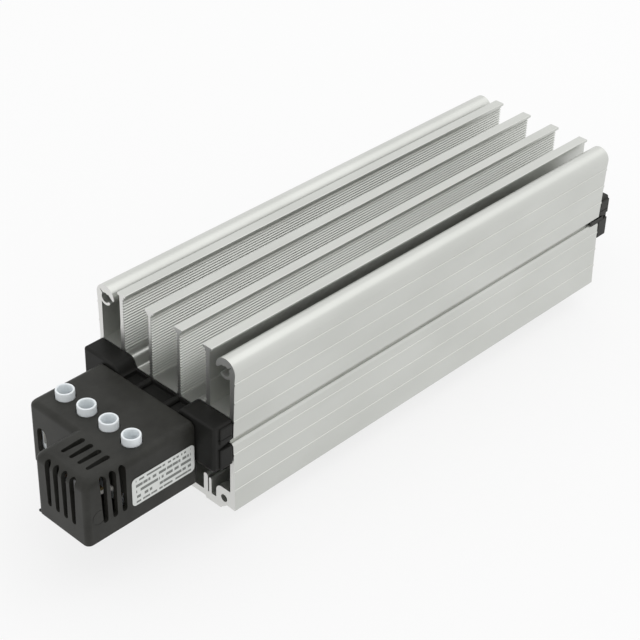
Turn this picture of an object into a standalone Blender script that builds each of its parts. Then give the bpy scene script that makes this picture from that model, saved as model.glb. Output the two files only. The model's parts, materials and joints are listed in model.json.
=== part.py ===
"""Enclosure heater: a finned aluminium extrusion heated by flat ceramic stones, with a plastic
terminal box on one end, a plastic cap on the other and a rail clip underneath.

The design frame has X along the extrusion from the end that carries the terminal box, Y across
it, and Z up from the underside of its bottom plate. An empty carries every piece, so that the
finished model stands on Z = 0 with the origin under the middle of its outline.
"""
import math

import bmesh
import bpy
from mathutils import Vector

MM = 0.001

# Fits
FIT_GAP = 0.3 * MM
LABEL_GAP = 0.05 * MM
MERGE_DISTANCE = 0.002 * MM
CUT_MARGIN = 2.0 * MM

# Extruded profile
PROFILE_LENGTH = 182.2 * MM
SIDE_CAVITY_WIDTH = 5.45 * MM
WALL = 2.2 * MM
WAIST_DEPTH = 0.65 * MM
WAIST_REACH = 24.0 * MM
FLUTE_DEPTH = 0.3 * MM
FLUTE_TOP_ROOM = 3.55 * MM
FLUTE_FOOT_ROOM = 7.7 * MM
FLUTES_EACH_SIDE = 3
FLUTE_CROP_ABOVE = 0.8 * MM
FLUTE_CROP_BELOW = 3.4 * MM
GROOVE_HEIGHT = 28.65 * MM
GROOVE_OPENING = 2.9 * MM
GROOVE_DEPTH = 1.45 * MM
GROOVE_FLAT = 0.5 * MM
GROOVE_BACKING = 2.1 * MM
HOOK_TOP = 57.6 * MM
HOOK_RADIUS = 4.05 * MM
HOOK_PORT_RADIUS = 1.75 * MM
HOOK_PORT_DROP = 0.45 * MM
HOOK_LIP = 0.9 * MM
HOOK_LIP_END = 222
HOOK_PORT_END = 160
HOOK_CURL_START = 300
FOOT_HEIGHT = 2.2 * MM
FOOT_WIDTH = 2.9 * MM
FOOT_CHAMFER = 0.5 * MM
FOOT_NOTCH = 0.3 * MM

# Heat spreading floor and the fins on it
FLOOR_HIGH = 37.2 * MM
FLOOR_STEP = 3.5 * MM
FLOOR_STEP_TO_FIN = 6.83 * MM
STEP_FOOT_RADIUS = 1.2 * MM
STEP_TOP_RADIUS = 2.8 * MM
STEP_LEAN = 70
UPPER_WEB = 2.2 * MM
LOWER_WEB_UNDERSIDE = 21.0 * MM
LOWER_WEB_CHAMFER = 1.0 * MM
CAVITY_FLOOR = 2.0 * MM
CAVITY_ROUND = 0.8 * MM
CHANNEL_ROUND = 0.25 * MM
FIN_TOP = 58.1 * MM
FIN_WALL_DISTANCE = 9.52 * MM
FIN_THICKNESS = 1.9 * MM
FIN_HEAD_WIDTH = 3.7 * MM
FIN_HEAD_HEIGHT = 1.3 * MM
FIN_HEAD_ROUND = 0.6 * MM
FIN_NECK_SLOPE = 0.6
FIN_OUTER_STEP = 0.15 * MM
FIN_OUTER_STEP_HEIGHT = 46.3 * MM
RIB_PITCH = 0.835 * MM
RIB_DEPTH = 0.22 * MM

# Bottom plate of the profile
PLATE_THICKNESS = 3.1 * MM
PLATE_EDGE_INSET = 6.25 * MM
RECESS_MARGIN = 6.7 * MM
RECESS_DEPTH = 0.8 * MM
GUIDE_TO_BLOCK = 5.5 * MM
GUIDE_THICKNESS = 1.8 * MM
GUIDE_HEIGHT = 9.8 * MM
GUIDE_SLOT = 0.5 * MM
GUIDE_OUTER_THICKNESS = 1.1 * MM
GUIDE_OUTER_HEIGHT = 9.0 * MM
FOOT_PORT_RADIUS = 1.35 * MM
FOOT_PORT_HEIGHT = 4.6 * MM
FOOT_PORT_INSET = 4.95 * MM
FOOT_BLOCK_WIDTH = 6.25 * MM
FOOT_BLOCK_TOP = 8.5 * MM
FOOT_BLOCK_ROUND = 2.4 * MM

# Heating element
STONE_COUNT = 4
STONE_WIDTH = 18.0 * MM
STONE_THICKNESS = 2.4 * MM
STONE_FRAME_RAIL = 2.0 * MM
STONE_FRAME_THICKNESS = 2.0 * MM
ELECTRODE_THICKNESS = 0.6 * MM
SLEEVE_WALL = 0.8 * MM
SLEEVE_ROUND = 0.6 * MM
SLEEVE_INNER_ROUND = 0.15 * MM
SLEEVE_INSET = 2.0 * MM
STACK_INSET = 6.0 * MM
TAB_WIDTH = 4.0 * MM
TAB_PLACE = 4.0 * MM
TAB_REACH = 4.6 * MM

# Plastic end pieces
BRACKET_THICKNESS = 7.2 * MM
CAP_THICKNESS = 5.5 * MM
END_PIECE_BOTTOM = 20.7 * MM
END_PIECE_ROUND = 0.9 * MM
END_CORE_INSET = 0.6 * MM
END_CORE_DROP = 0.1 * MM
END_BLOCK_LENGTH = 5.0 * MM
END_BLOCK_DROP = 0.4 * MM
END_BLOCK_RISE = 0.3 * MM
END_SLIT = 1.5 * MM
END_SLIT_DEPTH = 2.4 * MM
END_SLIT_OVERRUN = 0.6 * MM
END_SLIT_RISE = 0.3 * MM
END_FINE_SLIT = 0.45 * MM
END_FINE_SLIT_HEIGHT = 32.1 * MM
FINGER_LENGTH = 4.6 * MM
FINGER_INSET = 0.1 * MM
WINDOW_HALF_WIDTH = 7.0 * MM

# Terminal box
BOX_LENGTH = 27.6 * MM
BOX_BOTTOM = 13.0 * MM
BOX_TOP = 35.7 * MM
BOX_WALL = 1.6 * MM
BOX_TOP_ROUND = 2.2 * MM
BOX_CORNER_ROUND = 2.4 * MM
BOX_INNER_ROUND = 0.4 * MM
CAGE_LENGTH = 14.2 * MM
CAGE_WIDTH = 22.7 * MM
BASE_FLOOR = 1.6 * MM
BASE_BACK = 1.6 * MM

# Vent slots and wire entries of the box
FRONT_SLOT_COUNT = 4
FRONT_SLOT_WIDTH = 2.2 * MM
FRONT_SLOT_PITCH = 3.65 * MM
FRONT_SLOT_PLACE = 5.9 * MM
SIDE_SLOT_COUNT = 3
SIDE_SLOT_WIDTH = 1.8 * MM
SIDE_SLOT_PITCH = 3.55 * MM
SIDE_SLOT_PLACE = 6.6 * MM
SLOT_BOTTOM = 18.8 * MM
SLOT_OVERCUT = 0.2 * MM
TOP_SLOT_WIDTH = 1.9 * MM
TOP_SLOT_LENGTH = 8.0 * MM
TOP_SLOT_PLACE = 5.6 * MM
ENTRY_WIDTH = 4.4 * MM
ENTRY_BOTTOM = 16.9 * MM
ENTRY_TOP = 27.3 * MM
ENTRY_OFFSET = 1.25 * MM

# Terminal strip
POLE_COUNT = 4
POLE_PITCH = 10.0 * MM
POLE_END_MARGIN = 4.3 * MM
STRIP_SIDE_ROOM = 0.7 * MM
STRIP_DEPTH = 13.6 * MM
STRIP_SETBACK = 8.9 * MM
STRIP_FOOT = 2.4 * MM
STRIP_SUPPORT_HALF = 3.0 * MM
STRIP_HEIGHT = 14.0 * MM
STRIP_NOTCH_WIDTH = 2.0 * MM
STRIP_NOTCH_DEPTH = 5.0 * MM
COLLAR_RADIUS = 3.0 * MM
COLLAR_BORE_RADIUS = 2.35 * MM
COLLAR_STANDOUT = 2.65 * MM
INSERT_WIDTH = 5.6 * MM
INSERT_HEIGHT = 6.2 * MM
INSERT_LENGTH = 12.6 * MM
INSERT_DROP = 4.9 * MM
INSERT_BORE_RADIUS = 1.75 * MM
SCREW_SHANK_RADIUS = 1.3 * MM
SCREW_HEAD_RADIUS = 1.95 * MM
SCREW_HEAD_HEIGHT = 1.6 * MM
SCREW_LIFT = 2.2 * MM
SCREW_REACH = 1.1 * MM
SCREW_SLOT = 0.6 * MM
SCREW_SLOT_DEPTH = 0.8 * MM

# Long screws that hold the box base and the bracket to the profile
END_SCREW_RADIUS = 1.2 * MM
END_SCREW_HEAD_RADIUS = 2.4 * MM
END_SCREW_HEAD_HEIGHT = 1.9 * MM
END_SCREW_CROWN = 0.7
END_SCREW_EDGE = 0.5
END_SCREW_SLOT_DEPTH = 0.4
END_SCREW_GRIP = 9.0 * MM
END_SCREW_HEIGHT = 27.6 * MM
END_PORT_WALL = 2.2 * MM

# Thermostat in the vented cage
THERMOSTAT_RADIUS = 7.0 * MM
THERMOSTAT_BODY = 3.6 * MM
THERMOSTAT_CAP = 2.2 * MM
THERMOSTAT_CAP_INSET = 0.7 * MM
THERMOSTAT_FRONT_ROOM = 1.6 * MM
THERMOSTAT_LIFT = 0.9 * MM
THERMOSTAT_BLADE_WIDTH = 2.8 * MM
THERMOSTAT_BLADE_THICKNESS = 0.6 * MM
THERMOSTAT_BLADE_LENGTH = 2.6 * MM
THERMOSTAT_BLADE_SPREAD = 0.6
CRADLE_HALF_WIDTH = 4.5 * MM
CRADLE_HEIGHT = 3.0 * MM

# Insulated leads inside the box
LEAD_RADIUS = 0.9 * MM
LEAD_INSERTION = 3.0 * MM
LEAD_PORT_PLACE = 4.5 * MM
BRIDGE_REACH = 0.45
# Shares of the way from the strip to the box's back wall: along, across and up
LEAD_COURSE = [(0.28, 0.04, 0.05), (0.6, 0.38, 0.4), (1.0, 1.0, 0.85)]

# Rating label on the side of the box
LABEL_LENGTH = 24.4 * MM
LABEL_HEIGHT = 10.1 * MM
LABEL_THICKNESS = 0.15 * MM
LABEL_ROUND = 1.5 * MM
LABEL_BOTTOM = 18.2 * MM
LABEL_PLACE = 0.5 * MM

# Spring clip for a 35 mm rail
CLIP_SHEET = 1.0 * MM
CLIP_WIDTH = 25.0 * MM
CLIP_POCKET_HALF = 19.6 * MM
CLIP_NOSE_HALF = 16.4 * MM
CLIP_OUTER_BEND = 1.35 * MM
CLIP_NOSE_BEND = 1.4 * MM
CLIP_SHORT_TAIL = 4.6 * MM
CLIP_LONG_TAIL = 8.6 * MM
RIVET_RADIUS = 1.5 * MM
RIVET_HEAD_RADIUS = 3.0 * MM
RIVET_HEAD_HEIGHT = 0.8 * MM
RIVET_TAIL_RADIUS = 2.4 * MM
RIVET_TAIL_HEIGHT = 1.6 * MM
RIVET_TAPER = 0.8
RIVET_PLACE = 9.0 * MM

# Places that follow from the sizes above
FLOOR_LOW = FLOOR_HIGH - FLOOR_STEP
SLEEVE_HALF = STONE_WIDTH / 2 + STONE_FRAME_RAIL + FIT_GAP + SLEEVE_WALL
SLEEVE_INNER_HEIGHT = STONE_THICKNESS + 2 * ELECTRODE_THICKNESS + 4 * FIT_GAP
CHANNEL_HALF = SLEEVE_HALF + FIT_GAP
CHANNEL_ROOF = FLOOR_LOW - UPPER_WEB
CHANNEL_FLOOR = CHANNEL_ROOF - SLEEVE_INNER_HEIGHT - 2 * SLEEVE_WALL - 2 * FIT_GAP
STACK_CENTRE = (CHANNEL_ROOF + CHANNEL_FLOOR) / 2
BRACKET_FRONT = -FIT_GAP - BRACKET_THICKNESS
BOX_BACK = BRACKET_FRONT - FIT_GAP
BOX_FRONT = BOX_BACK - BOX_LENGTH
CAGE_FRONT = BOX_FRONT - CAGE_LENGTH
END_SLIT_HEIGHT = GROOVE_HEIGHT + END_SLIT_RISE
STRIP_HALF = (POLE_COUNT - 1) * POLE_PITCH / 2 + POLE_END_MARGIN
BOX_INSIDE_HALF = STRIP_HALF + STRIP_SIDE_ROOM
BOX_HALF = BOX_INSIDE_HALF + BOX_WALL
CAGE_FAR_SIDE = -BOX_HALF + CAGE_WIDTH
BOX_CEILING = BOX_TOP - BOX_WALL
BASE_TOP = BOX_BOTTOM + BASE_FLOOR
STRIP_BOTTOM = BASE_TOP + STRIP_FOOT
STRIP_TOP = STRIP_BOTTOM + STRIP_HEIGHT
POLE_X = BOX_FRONT + STRIP_SETBACK
POLE_PLACES = [(POLE_COUNT - 1) * POLE_PITCH / 2 - i * POLE_PITCH for i in range(POLE_COUNT)]
COLLAR_TOP = BOX_TOP + COLLAR_STANDOUT
INSERT_TOP = STRIP_TOP - INSERT_DROP
INSERT_CENTRE = INSERT_TOP - INSERT_HEIGHT / 2
LEAD_HEIGHT = INSERT_CENTRE - INSERT_BORE_RADIUS + FIT_GAP + LEAD_RADIUS
END_SCREW_PLACE = BOX_INSIDE_HALF - FIT_GAP - END_SCREW_HEAD_RADIUS
PORT_RADIUS = END_SCREW_RADIUS + FIT_GAP
CAVITY_INNER = END_SCREW_PLACE + PORT_RADIUS + END_PORT_WALL
CAVITY_OUTER = CAVITY_INNER + SIDE_CAVITY_WIDTH
PROFILE_HALF_WIDTH = CAVITY_OUTER + GROOVE_BACKING + GROOVE_DEPTH + WAIST_DEPTH
WALL_INSIDE = PROFILE_HALF_WIDTH - WALL
OUTER_FIN = WALL_INSIDE - FIN_WALL_DISTANCE
INNER_FIN = OUTER_FIN / 3
FLOOR_STEP_PLACE = OUTER_FIN - FLOOR_STEP_TO_FIN
PLATE_HALF_WIDTH = PROFILE_HALF_WIDTH - PLATE_EDGE_INSET
RECESS_HALF_WIDTH = PLATE_HALF_WIDTH - RECESS_MARGIN
FOOT_BLOCK_INNER = WALL_INSIDE - FOOT_BLOCK_WIDTH
GUIDE_PLACE = FOOT_BLOCK_INNER - GUIDE_TO_BLOCK
CAP_BACK = PROFILE_LENGTH + FIT_GAP + CAP_THICKNESS
THERMOSTAT_Y = -BOX_HALF + CAGE_WIDTH / 2
THERMOSTAT_FRONT = CAGE_FRONT + BOX_WALL + THERMOSTAT_FRONT_ROOM
THERMOSTAT_BACK = THERMOSTAT_FRONT + THERMOSTAT_CAP + FIT_GAP + THERMOSTAT_BODY
THERMOSTAT_Z = BASE_TOP + THERMOSTAT_LIFT + THERMOSTAT_RADIUS
CLIP_CENTRE = PROFILE_LENGTH / 2
CLIP_LEVEL = RECESS_DEPTH - FIT_GAP - CLIP_SHEET / 2
CLIP_LIP_LEVEL = CLIP_LEVEL - 2 * CLIP_OUTER_BEND
CLIP_TAIL_LEVEL = CLIP_LIP_LEVEL - 2 * CLIP_NOSE_BEND
CLIP_BOTTOM = CLIP_TAIL_LEVEL - CLIP_SHEET / 2

for old in list(bpy.data.objects):
    bpy.data.objects.remove(old, do_unlink=True)

parts = bpy.data.collections.new("enclosure_heater")
cutters = bpy.data.collections.new("cutters")
bpy.context.scene.collection.children.link(parts)
bpy.context.scene.collection.children.link(cutters)

origin = bpy.data.objects.new("heater_frame", None)
origin.location = (-(CAGE_FRONT + CAP_BACK) / 2, 0, -CLIP_BOTTOM)
parts.objects.link(origin)

# Rotations that lay a flat outline across the extrusion, or along its length
ACROSS = (math.pi / 2, 0, math.pi / 2)
ALONG = (math.pi / 2, 0, 0)
FLAT = (0, 0, 0)


def finish_of(name, colour, roughness, metallic=0.0):
    """A material of its own for one sub-part."""
    material = bpy.data.materials.new(name)
    material.use_nodes = True
    shader = material.node_tree.nodes["Principled BSDF"]
    shader.inputs["Base Color"].default_value = (*colour, 1.0)
    shader.inputs["Roughness"].default_value = roughness
    shader.inputs["Metallic"].default_value = metallic
    return material


ALUMINIUM = finish_of("anodised_aluminium", (0.60, 0.61, 0.59), 0.38, 1.0)
PLAIN_ALUMINIUM = finish_of("plain_aluminium", (0.75, 0.76, 0.77), 0.3, 1.0)
BLACK = finish_of("black_polyamide", (0.035, 0.035, 0.035), 0.5)
BROWN = finish_of("phenolic_resin", (0.06, 0.035, 0.025), 0.45)
NYLON = finish_of("natural_nylon", (0.80, 0.82, 0.83), 0.4)
BRASS = finish_of("brass", (0.72, 0.55, 0.25), 0.3, 1.0)
STEEL = finish_of("zinc_plated_steel", (0.62, 0.63, 0.64), 0.32, 1.0)
CERAMIC = finish_of("heating_ceramic", (0.22, 0.21, 0.20), 0.7)
POLYIMIDE = finish_of("polyimide_film", (0.55, 0.28, 0.06), 0.35)
SILICONE = finish_of("silicone_insulation", (0.75, 0.74, 0.70), 0.5)
LABEL = finish_of("silver_label", (0.72, 0.73, 0.74), 0.35)


def link(obj, collection, material=None):
    """Put an object in a collection, under the frame empty, with its material."""
    collection.objects.link(obj)
    obj.parent = origin
    if material is not None:
        obj.data.materials.append(material)
    if collection is cutters:
        obj.hide_render = True
        obj.display_type = "WIRE"
    return obj


def arc(centre, radius, start, end, steps):
    """Points on an arc from one angle to the other, in degrees, both ends included."""
    points = []
    for i in range(steps + 1):
        angle = math.radians(start + (end - start) * i / steps)
        points.append((centre[0] + radius * math.cos(angle), centre[1] + radius * math.sin(angle)))
    return points


def mirrored(half):
    """A closed outline from its half at positive first coordinate, listed from the middle out."""
    other = [(-a, b) for a, b in reversed(half) if a > MERGE_DISTANCE]
    return half + other


def rounded_box(low, high, radius, steps=4):
    """A rectangle with rounded corners, as an outline."""
    corners = [(high[0], high[1], 0), (low[0], high[1], 90), (low[0], low[1], 180),
               (high[0], low[1], 270)]
    points = []
    for a, b, start in corners:
        centre = (a - math.copysign(radius, a - low[0] - MERGE_DISTANCE),
                  b - math.copysign(radius, b - low[1] - MERGE_DISTANCE))
        points += arc(centre, radius, start, start + 90, steps)
    return points


def outline_solid(name, loops, start, depth, lay, collection, material=None):
    """A flat outline, with holes, swept through depth and made a welded mesh."""
    curve = bpy.data.curves.new(name, "CURVE")
    curve.dimensions = "2D"
    curve.fill_mode = "BOTH"
    curve.extrude = depth / 2
    for loop in loops:
        spline = curve.splines.new("POLY")
        spline.points.add(len(loop) - 1)
        for point, (a, b) in zip(spline.points, loop):
            point.co = (a, b, 0, 1)
        spline.use_cyclic_u = True
    drawn = bpy.data.objects.new(name + "_outline", curve)
    middle = start + depth / 2
    drawn.rotation_euler = lay
    drawn.location = {ACROSS: (middle, 0, 0), ALONG: (0, middle, 0), FLAT: (0, 0, middle)}[lay]
    link(drawn, cutters)
    bpy.context.view_layer.update()
    depsgraph = bpy.context.evaluated_depsgraph_get()
    mesh = bpy.data.meshes.new_from_object(drawn.evaluated_get(depsgraph))
    shaped = bmesh.new()
    shaped.from_mesh(mesh)
    bmesh.ops.remove_doubles(shaped, verts=shaped.verts, dist=MERGE_DISTANCE)
    bmesh.ops.dissolve_limit(shaped, angle_limit=math.radians(0.5), verts=shaped.verts, edges=shaped.edges)
    shaped.to_mesh(mesh)
    shaped.free()
    solid = bpy.data.objects.new(name, mesh)
    link(solid, collection, material)
    solid.matrix_world = drawn.matrix_world
    bpy.data.objects.remove(drawn, do_unlink=True)
    return solid


def box(name, low, high, collection, material=None):
    """A rectangular block between two corners."""
    mesh = bpy.data.meshes.new(name)
    shaped = bmesh.new()
    size = Vector(high) - Vector(low)
    middle = (Vector(high) + Vector(low)) / 2
    bmesh.ops.create_cube(shaped, size=1.0)
    bmesh.ops.scale(shaped, vec=size, verts=shaped.verts)
    shaped.to_mesh(mesh)
    shaped.free()
    solid = bpy.data.objects.new(name, mesh)
    solid.location = middle
    return link(solid, collection, material)


def cylinder(name, radius, low, high, axis, collection, material=None, segments=24):
    """A round bar between two points on an axis given as X, Y or Z."""
    mesh = bpy.data.meshes.new(name)
    shaped = bmesh.new()
    length = (Vector(high) - Vector(low)).length
    bmesh.ops.create_cone(shaped, cap_ends=True, segments=segments,
                          radius1=radius, radius2=radius, depth=length)
    shaped.to_mesh(mesh)
    shaped.free()
    mesh.shade_smooth()
    mesh.set_sharp_from_angle(angle=math.radians(40))
    solid = bpy.data.objects.new(name, mesh)
    solid.location = (Vector(high) + Vector(low)) / 2
    solid.rotation_euler = {"X": (0, math.pi / 2, 0), "Y": (math.pi / 2, 0, 0), "Z": FLAT}[axis]
    return link(solid, collection, material)


def turned(name, profile, place, rotation, collection, material, segments=24):
    """A turned piece: radius and height pairs, listed from the top down, spun about local Z."""
    mesh = bpy.data.meshes.new(name)
    mesh.from_pydata([(r, 0, h) for r, h in profile], [(i, i + 1) for i in range(len(profile) - 1)], [])
    solid = bpy.data.objects.new(name, mesh)
    solid.location = place
    solid.rotation_euler = rotation
    spin = solid.modifiers.new("spin", "SCREW")
    spin.axis = "Z"
    spin.steps = segments
    spin.render_steps = segments
    spin.use_merge_vertices = True
    spin.merge_threshold = MERGE_DISTANCE
    return link(solid, collection, material)


def combine(solid, other, operation):
    """Cut a solid with another, or join the other to it."""
    step = solid.modifiers.new(operation.lower(), "BOOLEAN")
    step.operation = operation
    step.solver = "EXACT"
    step.object = other


def round_edges(solid, radius, segments, chosen):
    """Round the sharp edges of a mesh that the test picks by the two ends of each edge."""
    shaped = bmesh.new()
    shaped.from_mesh(solid.data)
    weight = shaped.edges.layers.float.new("bevel_weight_edge")
    for edge in shaped.edges:
        sharp = edge.calc_face_angle(0.0) > math.radians(20)
        edge[weight] = 1.0 if sharp and chosen(edge.verts[0].co, edge.verts[1].co) else 0.0
    shaped.to_mesh(solid.data)
    shaped.free()
    bevel = solid.modifiers.new("rounding", "BEVEL")
    bevel.limit_method = "WEIGHT"
    bevel.width = radius
    bevel.segments = segments


def smooth_route(stops, spacing):
    """Points along a smooth curve through the stops, about one spacing apart."""
    stops = [Vector(stop) for stop in stops]
    padded = [2 * stops[0] - stops[1]] + stops + [2 * stops[-1] - stops[-2]]
    points = [stops[0]]
    for before, here, there, after in zip(padded, padded[1:], padded[2:], padded[3:]):
        steps = max(1, round((there - here).length / spacing))
        for i in range(1, steps + 1):
            t = i / steps
            points.append(0.5 * (2 * here + (there - before) * t
                                 + (2 * before - 5 * here + 4 * there - after) * t * t
                                 + (3 * here - before - 3 * there + after) * t * t * t))
    return points


def lead(name, stops):
    """An insulated lead laid through its stops."""
    curve = bpy.data.curves.new(name, "CURVE")
    curve.dimensions = "3D"
    curve.bevel_depth = LEAD_RADIUS
    curve.bevel_resolution = 2
    curve.use_fill_caps = True
    route = smooth_route(stops, 2 * LEAD_RADIUS)
    spline = curve.splines.new("POLY")
    spline.points.add(len(route) - 1)
    for point, place in zip(spline.points, route):
        point.co = (*place, 1)
    return link(bpy.data.objects.new(name, curve), parts, SILICONE)


def ribbed_face(face, outwards, low, high):
    """Fine ribs up one face of a fin, as outline points from low to high."""
    count = int((high - low) / RIB_PITCH)
    start = (low + high - count * RIB_PITCH) / 2
    points = []
    for i in range(count):
        points.append((face, start + i * RIB_PITCH))
        points.append((face - outwards * RIB_DEPTH, start + (i + 0.5) * RIB_PITCH))
    points.append((face, start + count * RIB_PITCH))
    return points


def fin(place, inner_floor, outer_floor, outer_ribbed):
    """One fin of the half section, up its inner face, over its head and down its outer face."""
    half = FIN_THICKNESS / 2
    head = FIN_HEAD_WIDTH / 2
    head_bottom = FIN_TOP - FIN_HEAD_HEIGHT
    neck = head_bottom - (head - half) * FIN_NECK_SLOPE
    rib_clear = RIB_PITCH / 2
    points = [(place - half, inner_floor)]
    points += ribbed_face(place - half, -1, inner_floor + rib_clear, neck - rib_clear)
    points += [(place - half, neck), (place - head, head_bottom)]
    points += arc((place - head + FIN_HEAD_ROUND, FIN_TOP - FIN_HEAD_ROUND), FIN_HEAD_ROUND, 180, 90, 3)
    points += arc((place + head - FIN_HEAD_ROUND, FIN_TOP - FIN_HEAD_ROUND), FIN_HEAD_ROUND, 90, 0, 3)
    points += [(place + head, head_bottom), (place + half, neck)]
    if outer_ribbed:
        ribs = ribbed_face(place + half, 1, outer_floor + rib_clear, neck - rib_clear)
        points += reversed(ribs)
        points.append((place + half, outer_floor))
    else:
        points.append((place + half, FIN_OUTER_STEP_HEIGHT))
        points.append((place + half + FIN_OUTER_STEP, FIN_OUTER_STEP_HEIGHT - FIN_OUTER_STEP))
        points.append((place + half + FIN_OUTER_STEP, outer_floor))
    return points


def floor_step():
    """The rounded rise of the floor from its low middle to its high sides."""
    foot = (FLOOR_STEP_PLACE, FLOOR_LOW + STEP_FOOT_RADIUS)
    lean = math.radians(STEP_LEAN)
    run = STEP_FOOT_RADIUS + STEP_TOP_RADIUS
    rise = FLOOR_STEP - run * (1 - math.cos(lean))
    sideways = run * math.sin(lean) + rise / math.tan(lean)
    top = (FLOOR_STEP_PLACE + sideways, FLOOR_HIGH - STEP_TOP_RADIUS)
    return (arc(foot, STEP_FOOT_RADIUS, -90, STEP_LEAN - 90, 4)
            + arc(top, STEP_TOP_RADIUS, 90 + STEP_LEAN, 90, 6))


def wall_face(height):
    """How far the outer wall's ridges stand from the middle at a height: a slight waist."""
    along = min(1.0, abs(height - GROOVE_HEIGHT) / WAIST_REACH)
    return PROFILE_HALF_WIDTH - WAIST_DEPTH * (1 - along)


def flute(high, low):
    """The shallow hollow of the outer wall between two ridges, without its first point."""
    steps = 5
    points = []
    for i in range(1, steps + 1):
        t = i / steps
        height = high + (low - high) * t
        hollow = 4 * FLUTE_DEPTH * t * (1 - t)
        points.append((wall_face(high) * (1 - t) + wall_face(low) * t - hollow, height))
    return points


def wall_top():
    """The curled top of the outer wall with its screw port, from the wall's inner face."""
    centre = (PROFILE_HALF_WIDTH - HOOK_RADIUS, HOOK_TOP - HOOK_RADIUS)
    port = (centre[0], centre[1] - HOOK_PORT_DROP)
    lip_radius = HOOK_PORT_RADIUS + HOOK_LIP
    root = math.degrees(math.acos(min(1.0, (WALL_INSIDE - port[0]) / lip_radius)))
    end = HOOK_LIP_END
    tip = arc(port, (HOOK_PORT_RADIUS + lip_radius) / 2, end, end, 1)[0]
    points = arc(port, lip_radius, -root, end - 360, 8)
    points += arc(tip, HOOK_LIP / 2, end, end - 180, 4)[1:-1]
    points += arc(port, HOOK_PORT_RADIUS, end - 360, HOOK_PORT_END, 14)
    curl = (HOOK_RADIUS - HOOK_PORT_RADIUS) / 3
    points += arc((centre[0] - HOOK_RADIUS + curl, centre[1]), curl, HOOK_CURL_START, 180, 4)
    points += arc(centre, HOOK_RADIUS, 180, 0, 14)[1:]
    return points


def wall_outside():
    """The outer wall from its curled top down to the foot, with flutes and the side groove."""
    upper_lip = GROOVE_HEIGHT + GROOVE_OPENING / 2
    lower_lip = GROOVE_HEIGHT - GROOVE_OPENING / 2
    points = []
    top_ridge = HOOK_TOP - HOOK_RADIUS - FLUTE_TOP_ROOM
    pitch = (top_ridge - upper_lip + FLUTE_CROP_ABOVE) / FLUTES_EACH_SIDE
    upward = [pitch * i - FLUTE_CROP_ABOVE for i in range(FLUTES_EACH_SIDE, 0, -1)]
    heights = [upper_lip + rise for rise in upward] + [upper_lip]
    points.append((wall_face(heights[0]), heights[0]))
    for high, low in zip(heights, heights[1:]):
        points += flute(high, low)
    vertex = wall_face(upper_lip) - GROOVE_DEPTH
    points += [(vertex, GROOVE_HEIGHT + GROOVE_FLAT / 2), (vertex, GROOVE_HEIGHT - GROOVE_FLAT / 2)]
    points.append((wall_face(lower_lip), lower_lip))
    pitch = (lower_lip - FOOT_HEIGHT - FLUTE_FOOT_ROOM + FLUTE_CROP_BELOW) / FLUTES_EACH_SIDE
    downward = [pitch * i - FLUTE_CROP_BELOW for i in range(1, FLUTES_EACH_SIDE + 1)]
    heights = [lower_lip] + [lower_lip - drop for drop in downward]
    for high, low in zip(heights, heights[1:]):
        points += flute(high, low)
    return points


def profile_foot():
    """Foot of the wall, its notch, and the underside of the bottom plate with its recess."""
    edge = wall_face(FOOT_HEIGHT)
    inner = edge - FOOT_WIDTH
    points = [(edge, FOOT_HEIGHT + FOOT_CHAMFER), (edge - FOOT_CHAMFER, FOOT_HEIGHT)]
    points += [(inner, FOOT_HEIGHT + FOOT_NOTCH / 2), (inner - 2 * FOOT_NOTCH, FOOT_HEIGHT + FOOT_NOTCH)]
    points += [(PLATE_HALF_WIDTH + FOOT_CHAMFER, FOOT_CHAMFER / 2), (PLATE_HALF_WIDTH, 0)]
    points += [(RECESS_HALF_WIDTH, 0), (RECESS_HALF_WIDTH - FOOT_NOTCH, RECESS_DEPTH), (0, RECESS_DEPTH)]
    return points


def profile_outline():
    """The whole outer outline of the extrusion, from its half."""
    half = [(0, FLOOR_LOW)]
    half += fin(INNER_FIN, FLOOR_LOW, FLOOR_LOW, True)
    half += floor_step()
    half += fin(OUTER_FIN, FLOOR_HIGH, FLOOR_HIGH, False)
    half.append((WALL_INSIDE, FLOOR_HIGH))
    half += wall_top()
    half += wall_outside()
    half += profile_foot()
    return mirrored(half)


def lower_chamber():
    """The air space between the bottom plate and the lower web, with the guide ribs."""
    guide_round = GUIDE_THICKNESS / 2
    outer = GUIDE_PLACE + GUIDE_THICKNESS + GUIDE_SLOT
    outer_round = GUIDE_OUTER_THICKNESS / 2
    half = [(0, PLATE_THICKNESS), (GUIDE_PLACE, PLATE_THICKNESS)]
    half += arc((GUIDE_PLACE + guide_round, GUIDE_HEIGHT - guide_round), guide_round, 180, 0, 6)
    half += [(GUIDE_PLACE + GUIDE_THICKNESS, PLATE_THICKNESS), (outer, PLATE_THICKNESS)]
    half += arc((outer + outer_round, GUIDE_OUTER_HEIGHT - outer_round), outer_round, 180, 0, 4)
    half += [(outer + GUIDE_OUTER_THICKNESS, PLATE_THICKNESS), (FOOT_BLOCK_INNER, PLATE_THICKNESS)]
    half += arc((FOOT_BLOCK_INNER + FOOT_BLOCK_ROUND, FOOT_BLOCK_TOP - FOOT_BLOCK_ROUND),
                FOOT_BLOCK_ROUND, 180, 90, 5)
    half += [(WALL_INSIDE, FOOT_BLOCK_TOP), (WALL_INSIDE, LOWER_WEB_UNDERSIDE - LOWER_WEB_CHAMFER)]
    half += [(WALL_INSIDE - LOWER_WEB_CHAMFER, LOWER_WEB_UNDERSIDE), (0, LOWER_WEB_UNDERSIDE)]
    return mirrored(half)


def side_cavity(side):
    """The closed space beside the element channel, on one side."""
    low = LOWER_WEB_UNDERSIDE + CAVITY_FLOOR
    high = FLOOR_HIGH - UPPER_WEB
    return rounded_box((min(side * CAVITY_INNER, side * CAVITY_OUTER), low),
                       (max(side * CAVITY_INNER, side * CAVITY_OUTER), high), CAVITY_ROUND, 3)


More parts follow.
